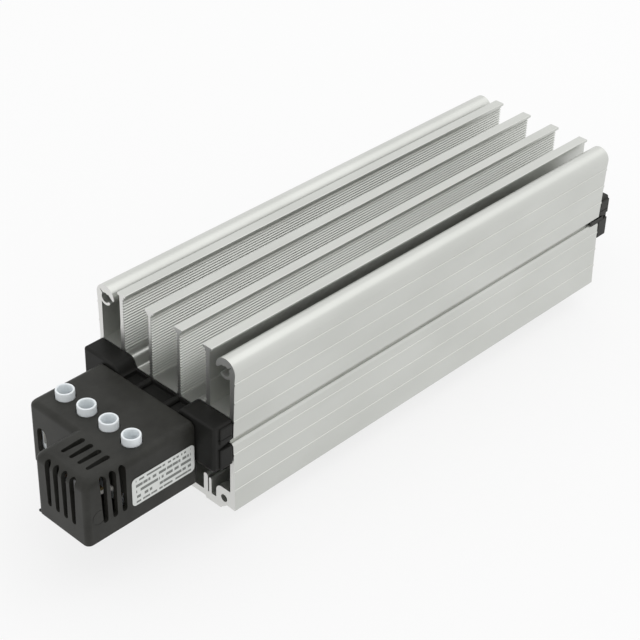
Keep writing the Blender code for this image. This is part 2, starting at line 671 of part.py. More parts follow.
def make_profile():
    """The extruded body, with the rivet holes of the rail clip."""
    channel = rounded_box((-CHANNEL_HALF, CHANNEL_FLOOR), (CHANNEL_HALF, CHANNEL_ROOF), CHANNEL_ROUND, 1)
    loops = [profile_outline(), lower_chamber(), channel, side_cavity(1), side_cavity(-1)]
    for side in (1, -1):
        loops.append(arc((side * END_SCREW_PLACE, END_SCREW_HEIGHT), PORT_RADIUS, 0, 345, 23))
        foot_port = (side * (PROFILE_HALF_WIDTH - FOOT_PORT_INSET), FOOT_PORT_HEIGHT)
        loops.append(arc(foot_port, FOOT_PORT_RADIUS, 0, 345, 23))
    profile = outline_solid("heatsink_profile", loops, 0, PROFILE_LENGTH, ACROSS, parts, ALUMINIUM)
    for side in (1, -1):
        place = CLIP_CENTRE + side * RIVET_PLACE
        hole = cylinder("rivet_hole", RIVET_RADIUS + FIT_GAP, (place, 0, -CUT_MARGIN),
                        (place, 0, PLATE_THICKNESS + CUT_MARGIN), "Z", cutters)
        combine(profile, hole, "DIFFERENCE")


def end_outline(half_width, low, high_drop):
    """Outline of an end piece, whose top follows the floor of the profile."""
    corner = END_PIECE_ROUND
    top = [(a, b - high_drop) for a, b in floor_step()]
    edge = FLOOR_HIGH - high_drop
    half = [(0, FLOOR_LOW - high_drop)] + top
    half += arc((half_width - corner, edge - corner), corner, 90, 0, 3)
    half += arc((half_width - corner, low + corner), corner, 0, -90, 3)
    half.append((0, low))
    return mirrored(half)


def make_end_piece(name, inside, depth, outwards):
    """A moulded end piece on the face at inside, growing along X with the sign of outwards."""
    core_half = wall_face(GROOVE_HEIGHT) - END_CORE_INSET
    block_half = wall_face(GROOVE_HEIGHT)
    start = min(inside, inside + outwards * depth)
    piece = outline_solid(name, [end_outline(core_half, END_PIECE_BOTTOM, END_CORE_DROP)],
                          start, depth, ACROSS, parts, BLACK)
    outer_side = depth / 2 * outwards
    round_edges(piece, END_PIECE_ROUND, 3,
                lambda a, b: (a.z - outer_side) ** 2 < 1e-12 and (b.z - outer_side) ** 2 < 1e-12)
    block_start = min(inside, inside + outwards * END_BLOCK_LENGTH)
    block_outline = end_outline(block_half, END_PIECE_BOTTOM + END_BLOCK_RISE, END_BLOCK_DROP)
    blocks = outline_solid(name + "_side_blocks", [block_outline], block_start, END_BLOCK_LENGTH,
                           ACROSS, cutters)
    combine(piece, blocks, "UNION")
    slit_stop = inside + outwards * (END_BLOCK_LENGTH + END_SLIT_OVERRUN)
    slit_start, slit_end = sorted((inside - outwards * CUT_MARGIN, slit_stop))
    for side in (1, -1):
        deep = side * (block_half - END_SLIT_DEPTH)
        past = side * (block_half + CUT_MARGIN)
        slit = box("groove_slit", (slit_start, min(deep, past), END_SLIT_HEIGHT - END_SLIT / 2),
                   (slit_end, max(deep, past), END_SLIT_HEIGHT + END_SLIT / 2), cutters)
        combine(piece, slit, "DIFFERENCE")
        shallow = side * (block_half - END_SLIT_DEPTH / 2)
        fine = box("fine_slit", (slit_start, min(shallow, past), END_FINE_SLIT_HEIGHT),
                   (slit_end, max(shallow, past), END_FINE_SLIT_HEIGHT + END_FINE_SLIT), cutters)
        combine(piece, fine, "DIFFERENCE")
    return piece


def make_bracket():
    """The bracket between the profile and the terminal box, with its lead window."""
    bracket = make_end_piece("terminal_end_bracket", -FIT_GAP, BRACKET_THICKNESS, -1)
    window = box("bracket_window", (BRACKET_FRONT - CUT_MARGIN, -WINDOW_HALF_WIDTH, CHANNEL_FLOOR),
                 (CUT_MARGIN, WINDOW_HALF_WIDTH, CHANNEL_ROOF), cutters)
    combine(bracket, window, "DIFFERENCE")
    for side in (1, -1):
        place = (side * END_SCREW_PLACE, END_SCREW_HEIGHT)
        hole = cylinder("bracket_screw_hole", PORT_RADIUS, (BRACKET_FRONT - CUT_MARGIN, *place),
                        (CUT_MARGIN, *place), "X", cutters)
        combine(bracket, hole, "DIFFERENCE")


def make_cap():
    """The cap on the far end, with a finger that snaps into each side groove."""
    inside = PROFILE_LENGTH + FIT_GAP
    cap = make_end_piece("far_end_cap", inside, CAP_THICKNESS, 1)
    vertex = wall_face(GROOVE_HEIGHT) - GROOVE_DEPTH + FIT_GAP
    face = wall_face(GROOVE_HEIGHT) - FINGER_INSET
    slope = GROOVE_OPENING / 2 - GROOVE_FLAT / 2 - FIT_GAP
    tip = GROOVE_FLAT / 5
    root = END_BLOCK_LENGTH / 2
    for side in (1, -1):
        section = [(side * vertex, GROOVE_HEIGHT + tip), (side * face, GROOVE_HEIGHT + slope),
                   (side * face, GROOVE_HEIGHT - slope), (side * vertex, GROOVE_HEIGHT - tip)]
        finger = outline_solid("cap_finger", [section], PROFILE_LENGTH - FINGER_LENGTH,
                               FINGER_LENGTH + FIT_GAP + root, ACROSS, cutters)
        combine(cap, finger, "UNION")


def box_plan(inset):
    """Plan of the terminal box with its cage, drawn inwards by an inset."""
    corner = max(BOX_CORNER_ROUND - inset, BOX_INNER_ROUND)
    back = BOX_BACK + (CUT_MARGIN if inset else 0)
    near = -BOX_HALF + inset
    far = BOX_HALF - inset
    front = BOX_FRONT + inset
    cage_front = CAGE_FRONT + inset
    cage_far = CAGE_FAR_SIDE - inset
    points = [(back, near)]
    points += arc((cage_front + corner, near + corner), corner, 270, 180, 4)
    points += arc((cage_front + corner, cage_far - corner), corner, 180, 90, 4)
    points.append((front, cage_far))
    points += arc((front + corner, far - corner), corner, 180, 90, 4)
    points.append((back, far))
    return points


def slot_outline(a, low, high, width):
    """An upright slot with round ends."""
    radius = width / 2
    return arc((a, high - radius), radius, 0, 180, 6) + arc((a, low + radius), radius, 180, 360, 6)


def make_cover():
    """The box cover: one moulded shell with vent slots, wire entries and holes for the collars."""
    height = BOX_TOP - BOX_BOTTOM
    cover = outline_solid("terminal_box_cover", [box_plan(0)], BOX_BOTTOM, height, FLAT, parts, BLACK)
    top = height / 2
    back = BOX_BACK
    round_edges(cover, min(BOX_TOP_ROUND, 0.95 * BOX_CORNER_ROUND), 4,
                lambda a, b: (a.z - top) ** 2 + (b.z - top) ** 2 < 1e-12
                and (a.x - back) ** 2 + (b.x - back) ** 2 > 1e-12)
    hollow = outline_solid("cover_hollow", [box_plan(BOX_WALL)], BOX_BOTTOM - CUT_MARGIN,
                           BOX_CEILING - BOX_BOTTOM + CUT_MARGIN, FLAT, cutters)
    combine(cover, hollow, "DIFFERENCE")
    for place in POLE_PLACES:
        hole = cylinder("collar_hole", COLLAR_RADIUS + FIT_GAP, (POLE_X, place, BOX_CEILING - CUT_MARGIN),
                        (POLE_X, place, BOX_TOP + CUT_MARGIN), "Z", cutters, segments=32)
        combine(cover, hole, "DIFFERENCE")
    over_top = BOX_TOP + CUT_MARGIN + FRONT_SLOT_WIDTH
    for i in range(FRONT_SLOT_COUNT):
        across = CAGE_FAR_SIDE - FRONT_SLOT_PLACE - i * FRONT_SLOT_PITCH
        slot = outline_solid("front_slot", [slot_outline(across, SLOT_BOTTOM, over_top, FRONT_SLOT_WIDTH)],
                             CAGE_FRONT - CUT_MARGIN, CUT_MARGIN + BOX_WALL + SLOT_OVERCUT, ACROSS, cutters)
        combine(cover, slot, "DIFFERENCE")
        near_end = CAGE_FRONT + TOP_SLOT_PLACE
        plan = [(b, a) for a, b in slot_outline(across, near_end, near_end + TOP_SLOT_LENGTH, TOP_SLOT_WIDTH)]
        slot = outline_solid("top_slot", [plan], BOX_CEILING - CUT_MARGIN,
                             BOX_WALL + 2 * CUT_MARGIN, FLAT, cutters)
        combine(cover, slot, "DIFFERENCE")
    for i in range(SIDE_SLOT_COUNT):
        along = CAGE_FRONT + SIDE_SLOT_PLACE + i * SIDE_SLOT_PITCH
        slot = outline_solid("side_slot", [slot_outline(along, SLOT_BOTTOM, over_top, SIDE_SLOT_WIDTH)],
                             -BOX_HALF - CUT_MARGIN, CUT_MARGIN + BOX_WALL + SLOT_OVERCUT, ALONG, cutters)
        combine(cover, slot, "DIFFERENCE")
    for place in POLE_PLACES[:2]:
        opening = slot_outline(place + ENTRY_OFFSET, ENTRY_BOTTOM, ENTRY_TOP, ENTRY_WIDTH)
        entry = outline_solid("wire_entry", [opening], BOX_FRONT - CUT_MARGIN,
                              2 * CUT_MARGIN + BOX_WALL, ACROSS, cutters)
        combine(cover, entry, "DIFFERENCE")


def make_base():
    """The box floor and back wall, with the strip's supports and the thermostat's cradle."""
    inset = BOX_WALL + FIT_GAP
    plan = [(min(a, BOX_BACK), b) for a, b in box_plan(inset)]
    base = outline_solid("terminal_box_base", [plan], BOX_BOTTOM, BASE_FLOOR, FLAT, parts, BLACK)
    sunk = BASE_TOP - BASE_FLOOR / 2
    half = BOX_INSIDE_HALF - FIT_GAP
    back_wall = box("base_back_wall", (BOX_BACK - BASE_BACK, -half, sunk),
                    (BOX_BACK, half, BOX_CEILING - FIT_GAP), cutters)
    combine(base, back_wall, "UNION")
    for side in (1, -1):
        support = box("strip_support",
                      (POLE_X - STRIP_DEPTH / 4, side * POLE_PITCH - STRIP_SUPPORT_HALF, sunk),
                      (POLE_X + STRIP_DEPTH / 4, side * POLE_PITCH + STRIP_SUPPORT_HALF,
                       STRIP_BOTTOM - FIT_GAP), cutters)
        combine(base, support, "UNION")
    body_start = THERMOSTAT_BACK - THERMOSTAT_BODY
    cradle = box("thermostat_cradle",
                 (body_start + FIT_GAP, THERMOSTAT_Y - CRADLE_HALF_WIDTH, sunk),
                 (THERMOSTAT_BACK - FIT_GAP, THERMOSTAT_Y + CRADLE_HALF_WIDTH, BASE_TOP + CRADLE_HEIGHT),
                 cutters)
    combine(base, cradle, "UNION")
    seat = cylinder("cradle_seat", THERMOSTAT_RADIUS + FIT_GAP,
                    (body_start - CUT_MARGIN, THERMOSTAT_Y, THERMOSTAT_Z),
                    (THERMOSTAT_BACK + CUT_MARGIN, THERMOSTAT_Y, THERMOSTAT_Z), "X", cutters, segments=48)
    combine(base, seat, "DIFFERENCE")
    window = box("base_window", (BOX_BACK - BASE_BACK - CUT_MARGIN, -WINDOW_HALF_WIDTH, CHANNEL_FLOOR),
                 (BOX_BACK + CUT_MARGIN, WINDOW_HALF_WIDTH, CHANNEL_ROOF), cutters)
    combine(base, window, "DIFFERENCE")
    for side in (1, -1):
        place = (side * END_SCREW_PLACE, END_SCREW_HEIGHT)
        hole = cylinder("base_screw_hole", PORT_RADIUS, (BOX_BACK - BASE_BACK - CUT_MARGIN, *place),
                        (BOX_BACK + CUT_MARGIN, *place), "X", cutters)
        combine(base, hole, "DIFFERENCE")


def make_end_screws():
    """Two long screws through the base and the bracket into the profile's screw ports."""
    seat = BOX_BACK - BASE_BACK - FIT_GAP
    length = END_SCREW_GRIP - seat
    for i, side in enumerate((1, -1)):
        shape = [(0, END_SCREW_HEAD_HEIGHT), (END_SCREW_HEAD_RADIUS * END_SCREW_CROWN, END_SCREW_HEAD_HEIGHT),
                 (END_SCREW_HEAD_RADIUS, END_SCREW_HEAD_HEIGHT * END_SCREW_EDGE), (END_SCREW_HEAD_RADIUS, 0),
                 (END_SCREW_RADIUS, 0), (END_SCREW_RADIUS, -length + END_SCREW_RADIUS), (0, -length)]
        screw = turned(f"end_screw_{i + 1}", shape, (seat, side * END_SCREW_PLACE, END_SCREW_HEIGHT),
                       (0, -math.pi / 2, 0), parts, STEEL, segments=20)
        front = seat - END_SCREW_HEAD_HEIGHT
        slot = box("end_screw_slot", (front - CUT_MARGIN, side * END_SCREW_PLACE - END_SCREW_RADIUS / 4,
                                      END_SCREW_HEIGHT - END_SCREW_HEAD_RADIUS - CUT_MARGIN),
                   (front + END_SCREW_HEAD_HEIGHT * END_SCREW_SLOT_DEPTH,
                    side * END_SCREW_PLACE + END_SCREW_RADIUS / 4,
                    END_SCREW_HEIGHT + END_SCREW_HEAD_RADIUS + CUT_MARGIN), cutters)
        combine(screw, slot, "DIFFERENCE")


def strip_outline():
    """Front outline of the terminal strip, with a notch between poles."""
    points = [(STRIP_HALF, STRIP_BOTTOM), (STRIP_HALF, STRIP_TOP)]
    half_notch = STRIP_NOTCH_WIDTH / 2
    for place, following in zip(POLE_PLACES, POLE_PLACES[1:]):
        middle = (place + following) / 2
        points.append((middle + half_notch, STRIP_TOP))
        points += arc((middle, STRIP_TOP - STRIP_NOTCH_DEPTH + half_notch), half_notch, 0, -180, 4)
        points.append((middle - half_notch, STRIP_TOP))
    points += [(-STRIP_HALF, STRIP_TOP), (-STRIP_HALF, STRIP_BOTTOM)]
    return points


def make_strip():
    """The nylon terminal strip with one screw collar per pole."""
    start = POLE_X - STRIP_DEPTH / 2
    strip = outline_solid("terminal_strip", [strip_outline()], start, STRIP_DEPTH, ACROSS, parts, NYLON)
    for place in POLE_PLACES:
        collar = cylinder("collar", COLLAR_RADIUS, (POLE_X, place, STRIP_TOP - CUT_MARGIN),
                          (POLE_X, place, COLLAR_TOP), "Z", cutters, segments=32)
        combine(strip, collar, "UNION")
    for place in POLE_PLACES:
        bore = cylinder("collar_bore", COLLAR_BORE_RADIUS, (POLE_X, place, INSERT_TOP - CUT_MARGIN),
                        (POLE_X, place, COLLAR_TOP + CUT_MARGIN), "Z", cutters, segments=32)
        combine(strip, bore, "DIFFERENCE")
        half = INSERT_WIDTH / 2 + FIT_GAP
        tunnel = box("insert_tunnel",
                     (start - CUT_MARGIN, place - half, INSERT_TOP - INSERT_HEIGHT - FIT_GAP),
                     (start + STRIP_DEPTH + CUT_MARGIN, place + half, INSERT_TOP + FIT_GAP), cutters)
        combine(strip, tunnel, "DIFFERENCE")


def make_poles():
    """Brass clamping inserts and their screws."""
    for i, place in enumerate(POLE_PLACES):
        insert = box(f"clamp_insert_{i + 1}", (POLE_X - INSERT_LENGTH / 2, place - INSERT_WIDTH / 2,
                                               INSERT_TOP - INSERT_HEIGHT),
                     (POLE_X + INSERT_LENGTH / 2, place + INSERT_WIDTH / 2, INSERT_TOP), parts, BRASS)
        reach = INSERT_LENGTH / 2 + CUT_MARGIN
        bore = cylinder("insert_bore", INSERT_BORE_RADIUS, (POLE_X - reach, place, INSERT_CENTRE),
                        (POLE_X + reach, place, INSERT_CENTRE), "X", cutters)
        combine(insert, bore, "DIFFERENCE")
        thread = cylinder("insert_thread", SCREW_SHANK_RADIUS + FIT_GAP, (POLE_X, place, INSERT_CENTRE),
                          (POLE_X, place, INSERT_TOP + CUT_MARGIN), "Z", cutters)
        combine(insert, thread, "DIFFERENCE")
        head_bottom = INSERT_TOP + SCREW_LIFT
        tip = INSERT_CENTRE + INSERT_BORE_RADIUS - SCREW_REACH - head_bottom
        shape = [(0, SCREW_HEAD_HEIGHT), (SCREW_HEAD_RADIUS, SCREW_HEAD_HEIGHT), (SCREW_HEAD_RADIUS, 0),
                 (SCREW_SHANK_RADIUS, 0), (SCREW_SHANK_RADIUS, tip), (0, tip)]
        screw = turned(f"clamp_screw_{i + 1}", shape, (POLE_X, place, head_bottom), FLAT, parts, STEEL,
                       segments=20)
        head_top = head_bottom + SCREW_HEAD_HEIGHT
        slot = box("clamp_screw_slot", (POLE_X - SCREW_HEAD_RADIUS - CUT_MARGIN, place - SCREW_SLOT / 2,
                                        head_top - SCREW_SLOT_DEPTH),
                   (POLE_X + SCREW_HEAD_RADIUS + CUT_MARGIN, place + SCREW_SLOT / 2,
                    head_top + CUT_MARGIN), cutters)
        combine(screw, slot, "DIFFERENCE")


def blade_place(pole):
    """Where across the box the thermostat's blade for a pole stands."""
    return THERMOSTAT_Y + (pole - THERMOSTAT_Y) * THERMOSTAT_BLADE_SPREAD


def make_thermostat():
    """A snap disc thermostat: resin body, metal cap to the vents and two blades behind."""
    body_start = THERMOSTAT_BACK - THERMOSTAT_BODY
    cylinder("thermostat_body", THERMOSTAT_RADIUS, (body_start, THERMOSTAT_Y, THERMOSTAT_Z),
             (THERMOSTAT_BACK, THERMOSTAT_Y, THERMOSTAT_Z), "X", parts, BROWN, segments=32)
    cylinder("thermostat_cap", THERMOSTAT_RADIUS - THERMOSTAT_CAP_INSET,
             (THERMOSTAT_FRONT, THERMOSTAT_Y, THERMOSTAT_Z),
             (THERMOSTAT_FRONT + THERMOSTAT_CAP, THERMOSTAT_Y, THERMOSTAT_Z),
             "X", parts, PLAIN_ALUMINIUM, segments=32)
    start = THERMOSTAT_BACK + FIT_GAP
    low = LEAD_HEIGHT + LEAD_RADIUS + FIT_GAP
    for name, place in zip(("thermostat_blade_1", "thermostat_blade_2"), POLE_PLACES[2:]):
        inward = blade_place(place)
        box(name, (start, inward - THERMOSTAT_BLADE_WIDTH / 2, low),
            (start + THERMOSTAT_BLADE_LENGTH, inward + THERMOSTAT_BLADE_WIDTH / 2,
             low + THERMOSTAT_BLADE_THICKNESS), parts, BRASS)


def make_element():
    """The flat heating element in its channel: sleeve, electrodes, stones and their frame."""
    centre = STACK_CENTRE
    inner_half = SLEEVE_HALF - SLEEVE_WALL
    outer_height = SLEEVE_INNER_HEIGHT + 2 * SLEEVE_WALL
    outer = rounded_box((-SLEEVE_HALF, centre - outer_height / 2), (SLEEVE_HALF, centre + outer_height / 2),
                        SLEEVE_ROUND, 3)
    inner = rounded_box((-inner_half, centre - SLEEVE_INNER_HEIGHT / 2),
                        (inner_half, centre + SLEEVE_INNER_HEIGHT / 2), SLEEVE_INNER_ROUND, 1)
    outline_solid("insulating_sleeve", [outer, inner], SLEEVE_INSET, PROFILE_LENGTH - 2 * SLEEVE_INSET,
                  ACROSS, parts, POLYIMIDE)
    start = STACK_INSET
    end = PROFILE_LENGTH - STACK_INSET
    half = STONE_WIDTH / 2 + STONE_FRAME_RAIL
    pitch = (end - start - STONE_FRAME_RAIL) / STONE_COUNT
    frame_loops = [[(start, -half), (end, -half), (end, half), (start, half)]]
    for i in range(STONE_COUNT):
        low = start + STONE_FRAME_RAIL + i * pitch
        high = low + pitch - STONE_FRAME_RAIL
        room = STONE_WIDTH / 2
        frame_loops.append([(low, -room), (high, -room), (high, room), (low, room)])
        box(f"ceramic_stone_{i + 1}", (low + FIT_GAP, -room + FIT_GAP, centre - STONE_THICKNESS / 2),
            (high - FIT_GAP, room - FIT_GAP, centre + STONE_THICKNESS / 2), parts, CERAMIC)
    outline_solid("stone_frame", frame_loops, centre - STONE_FRAME_THICKNESS / 2, STONE_FRAME_THICKNESS,
                  FLAT, parts, NYLON)
    stack_face = STONE_THICKNESS / 2 + FIT_GAP
    levels = {"upper_electrode": (centre + stack_face, 1),
              "lower_electrode": (centre - stack_face - ELECTRODE_THICKNESS, -1)}
    for name, (level, side) in levels.items():
        near = side * TAB_PLACE - TAB_WIDTH / 2
        plan = [(start, -half), (end, -half), (end, half), (start, half), (start, near + TAB_WIDTH),
                (-TAB_REACH, near + TAB_WIDTH), (-TAB_REACH, near), (start, near)]
        outline_solid(name, [plan], level, ELECTRODE_THICKNESS, FLAT, parts, PLAIN_ALUMINIUM)


def make_leads():
    """The leads from the terminal strip to the element, to the thermostat and between poles."""
    rear = POLE_X + INSERT_LENGTH / 2
    front = POLE_X - INSERT_LENGTH / 2
    near_tab = STONE_THICKNESS / 2 - LEAD_RADIUS
    room = BOX_BACK - BASE_BACK - rear
    tab_end = -TAB_REACH + 2 * LEAD_RADIUS
    for name, place, side in (("element_lead_1", POLE_PLACES[0], 1), ("element_lead_2", POLE_PLACES[-1], -1)):
        high = STACK_CENTRE + side * near_tab
        stops = [(rear - LEAD_INSERTION, place, LEAD_HEIGHT), (rear, place, LEAD_HEIGHT)]
        for along, across, up in LEAD_COURSE:
            stops.append((rear + room * along, place + (side * LEAD_PORT_PLACE - place) * across,
                          LEAD_HEIGHT + (high - LEAD_HEIGHT) * up))
        stops += [(BRACKET_FRONT + LEAD_RADIUS, side * TAB_PLACE, high), (tab_end, side * TAB_PLACE, high)]
        lead(name, stops)
    left, right = POLE_PLACES[1], POLE_PLACES[2]
    middle = (left + right) / 2
    turn = rear + room * BRIDGE_REACH
    lead("bridge_lead", [(rear - LEAD_INSERTION, left, LEAD_HEIGHT), (rear, left, LEAD_HEIGHT),
                         (turn - LEAD_RADIUS, (left + middle) / 2, LEAD_HEIGHT),
                         (turn, middle, LEAD_HEIGHT),
                         (turn - LEAD_RADIUS, (right + middle) / 2, LEAD_HEIGHT),
                         (rear, right, LEAD_HEIGHT), (rear - LEAD_INSERTION, right, LEAD_HEIGHT)])
    blade_end = THERMOSTAT_BACK + 2 * FIT_GAP
    for name, place in zip(("thermostat_lead_1", "thermostat_lead_2"), POLE_PLACES[2:]):
        inward = blade_place(place)
        lead(name, [(front + LEAD_INSERTION, place, LEAD_HEIGHT), (front, place, LEAD_HEIGHT),
                    ((front + blade_end) / 2, (place + inward) / 2, LEAD_HEIGHT),
                    (blade_end + LEAD_RADIUS, inward, LEAD_HEIGHT), (blade_end, inward, LEAD_HEIGHT)])


def make_label():
    """The rating label, left blank."""
    end = BOX_BACK - LABEL_PLACE
    plan = rounded_box((end - LABEL_LENGTH, LABEL_BOTTOM), (end, LABEL_BOTTOM + LABEL_HEIGHT), LABEL_ROUND)
    outline_solid("rating_label", [plan], -BOX_HALF - LABEL_GAP - LABEL_THICKNESS, LABEL_THICKNESS,
                  ALONG, parts, LABEL)


def sheet_outline(path, thickness):
    """The outline of a bent sheet from its middle line, with mitred corners."""
    path = [Vector(point) for point in path]
    sides = ([], [])
    for i, point in enumerate(path):
        before = (point - path[i - 1]).normalized() if i else (path[1] - point).normalized()
        after = (path[i + 1] - point).normalized() if i + 1 < len(path) else before
        middle = (before + after).normalized()
        normal = Vector((-middle.y, middle.x))
        reach = thickness / 2 / max(0.3, normal.dot(Vector((-before.y, before.x))))
        sides[0].append(tuple(point + normal * reach))
        sides[1].append(tuple(point - normal * reach))
    return sides[0] + sides[1][::-1]


def clip_half(side, tail):
    """Middle line of one side of the clip, from the middle of the clip out to the tail's end."""
    bend = arc((CLIP_POCKET_HALF, CLIP_LEVEL - CLIP_OUTER_BEND), CLIP_OUTER_BEND, 90, -90, 8)
    nose = arc((CLIP_NOSE_HALF, CLIP_LIP_LEVEL - CLIP_NOSE_BEND), CLIP_NOSE_BEND, 90, 270, 8)
    path = bend + nose + [(CLIP_NOSE_HALF + tail, CLIP_TAIL_LEVEL)]
    return [(CLIP_CENTRE + side * a, b) for a, b in path]


def make_clip():
    """The folded spring steel clip for the rail, and the two rivets that hold it."""
    path = clip_half(-1, CLIP_SHORT_TAIL)[::-1] + clip_half(1, CLIP_LONG_TAIL)
    clip = outline_solid("rail_clip", [sheet_outline(path, CLIP_SHEET)], -CLIP_WIDTH / 2, CLIP_WIDTH,
                         ALONG, parts, STEEL)
    for i, side in enumerate((-1, 1)):
        place = CLIP_CENTRE + side * RIVET_PLACE
        hole = cylinder("clip_hole", RIVET_RADIUS + FIT_GAP, (place, 0, CLIP_LEVEL - CUT_MARGIN),
                        (place, 0, CLIP_LEVEL + CUT_MARGIN), "Z", cutters)
        combine(clip, hole, "DIFFERENCE")
        head_top = CLIP_LEVEL - CLIP_SHEET / 2 - FIT_GAP
        tail_bottom = PLATE_THICKNESS + FIT_GAP
        tail_top = tail_bottom + RIVET_TAIL_HEIGHT
        head_bottom = head_top - RIVET_HEAD_HEIGHT
        shape = [(0, tail_top), (RIVET_TAIL_RADIUS * RIVET_TAPER, tail_top),
                 (RIVET_TAIL_RADIUS, tail_bottom), (RIVET_RADIUS, tail_bottom), (RIVET_RADIUS, head_top),
                 (RIVET_HEAD_RADIUS, head_top), (RIVET_HEAD_RADIUS * RIVET_TAPER, head_bottom),
                 (0, head_bottom)]
        turned(f"clip_rivet_{i + 1}", shape, (place, 0, 0), FLAT, parts, PLAIN_ALUMINIUM)


make_profile()
make_bracket()
make_cap()
make_cover()
make_base()
make_end_screws()
make_strip()
make_poles()
make_thermostat()
make_element()
make_leads()
make_label()
make_clip()
bpy.context.view_layer.update()
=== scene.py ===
"""Looks of the enclosure heater: finishes, fine moulded details, camera, floor and light.

Lengths are in metres. A place on the heater is given in the design frame of the CAD source (X along
the extrusion from its terminal end, Y across, Z up from the underside of its plate) and moved to
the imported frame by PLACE. Angles are in degrees, apart from the camera's, which are in radians.
"""
import json
import math

import bmesh
import bpy
from mathutils import Matrix, Vector


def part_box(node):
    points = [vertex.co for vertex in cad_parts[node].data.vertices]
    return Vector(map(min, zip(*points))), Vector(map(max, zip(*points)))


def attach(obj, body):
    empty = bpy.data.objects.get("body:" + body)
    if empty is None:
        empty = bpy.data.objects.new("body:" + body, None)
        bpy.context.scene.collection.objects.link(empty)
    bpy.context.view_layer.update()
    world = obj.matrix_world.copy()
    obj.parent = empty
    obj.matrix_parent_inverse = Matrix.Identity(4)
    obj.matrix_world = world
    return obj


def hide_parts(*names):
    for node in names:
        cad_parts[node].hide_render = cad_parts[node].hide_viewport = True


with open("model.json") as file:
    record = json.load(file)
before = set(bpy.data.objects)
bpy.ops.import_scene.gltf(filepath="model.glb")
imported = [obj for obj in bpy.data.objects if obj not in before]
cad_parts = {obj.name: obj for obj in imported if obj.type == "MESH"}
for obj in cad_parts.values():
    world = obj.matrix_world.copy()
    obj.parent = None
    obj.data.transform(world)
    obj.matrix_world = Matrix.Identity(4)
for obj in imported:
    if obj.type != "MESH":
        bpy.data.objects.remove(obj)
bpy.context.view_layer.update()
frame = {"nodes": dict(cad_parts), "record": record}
nodes = frame["nodes"]

MM = 0.001
ROOT = "root"

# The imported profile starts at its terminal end, and its bottom plate lies at its lowest point
PROFILE_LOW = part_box("heatsink_profile")[0]
PLACE = Vector((PROFILE_LOW.x, 0, PROFILE_LOW.z))

# Gap of a fit, how far apart points are still one point, and how far a cut reaches past what it cuts
FIT_GAP = 0.3 * MM
MERGE_DISTANCE = 0.002 * MM
CUT = 2.0 * MM

# Angles between faces: below the first they are one flat face, above the others their edge is sharp
FLAT_ANGLE = 0.5
SHARP_ANGLE = 35
SOFTENED_ANGLE = 40

# Steps along round forms
ROUND_STEPS = 48
COLLAR_STEPS = 64
EJECTOR_STEPS = 36
HOOK_STEPS = 28
HOOK_LIP_STEPS = 16
HOOK_PORT_STEPS = 22
HOOK_SLIT_STEPS = 8
FOOT_STEPS = 5
FLOOR_FOOT_STEPS = 8
FLOOR_TOP_STEPS = 12
GUIDE_STEPS = 12
GUIDE_OUTER_STEPS = 8
FOOT_BLOCK_STEPS = 10
TIGHT_STEPS = 3
SMALL_STEPS = 6
CORNER_STEPS = 8
SLOT_STEPS = 10

# Extruded body, as in the CAD source
PROFILE_LENGTH = 182.2 * MM
HALF_WIDTH = 30.65 * MM
WALL_INSIDE = 28.45 * MM
WAIST_DEPTH = 0.65 * MM
WAIST_REACH = 24.0 * MM
GROOVE_HEIGHT = 28.65 * MM
GROOVE_OPENING = 2.9 * MM
GROOVE_DEPTH = 1.45 * MM
GROOVE_FLAT = 0.5 * MM
HOOK_TOP = 57.6 * MM
HOOK_RADIUS = 4.05 * MM
HOOK_PORT_RADIUS = 1.75 * MM
HOOK_PORT_DROP = 0.45 * MM
HOOK_LIP = 0.9 * MM
HOOK_LIP_END = 222
HOOK_PORT_END = 125
HOOK_CURL = 0.6 * MM
HOOK_CURL_RISE = 0.3 * MM
HOOK_CURL_START = 290
HOOK_NOTCH = (25.2 * MM, 54.85 * MM)
HOOK_SLIT = [(29.05 * MM, 55.35 * MM), (28.95 * MM, 55.5 * MM)]
HOOK_SLIT_START = 38
HOOK_SLIT_END = 58
FOOT_HEIGHT = 2.2 * MM
FOOT_WIDTH = 2.9 * MM
FOOT_NOTCH = 0.3 * MM
FLOOR_HIGH = 37.2 * MM
FLOOR_STEP = 3.5 * MM
FLOOR_LOW = FLOOR_HIGH - FLOOR_STEP
STEP_PLACE = 12.1 * MM
STEP_FOOT_RADIUS = 1.2 * MM
STEP_TOP_RADIUS = 2.8 * MM
STEP_LEAN = 70
LOWER_WEB = 21.0 * MM
WEB_CHAMFER = 1.0 * MM
CAVITY_INNER = 21.0 * MM
CAVITY_OUTER = 26.45 * MM
CAVITY_LOW = 23.0 * MM
CAVITY_HIGH = 35.0 * MM
CAVITY_ROUND = 0.8 * MM
CHANNEL_HALF = 12.4 * MM
CHANNEL_FLOOR = 24.5 * MM
CHANNEL_ROOF = 31.5 * MM
CHANNEL_ROUND = 0.25 * MM
PORT_PLACE = 17.3 * MM
PORT_HEIGHT = 27.6 * MM
PORT_RADIUS = 1.5 * MM
FIN_TOP = 58.1 * MM
INNER_FIN = 6.31 * MM
OUTER_FIN = 18.93 * MM
FIN_THICKNESS = 1.9 * MM
FIN_HEAD_WIDTH = 3.7 * MM
FIN_HEAD_HEIGHT = 0.8 * MM
FIN_HEAD_ROUND = 0.25 * MM
FIN_NECK_SLOPE = 0.3
FIN_STEP = 0.15 * MM
FIN_STEP_HEIGHT = 46.3 * MM
PLATE_THICKNESS = 3.1 * MM
PLATE_HALF_WIDTH = 24.4 * MM
RECESS_HALF_WIDTH = 17.7 * MM
RECESS_DEPTH = 0.8 * MM
GUIDE_PLACE = 16.7 * MM
GUIDE_THICKNESS = 1.8 * MM
GUIDE_HEIGHT = 9.8 * MM
GUIDE_SLOT = 0.5 * MM
GUIDE_OUTER_THICKNESS = 1.1 * MM
GUIDE_OUTER_HEIGHT = 9.0 * MM
FOOT_BLOCK_INNER = 22.2 * MM
FOOT_BLOCK_TOP = 8.5 * MM
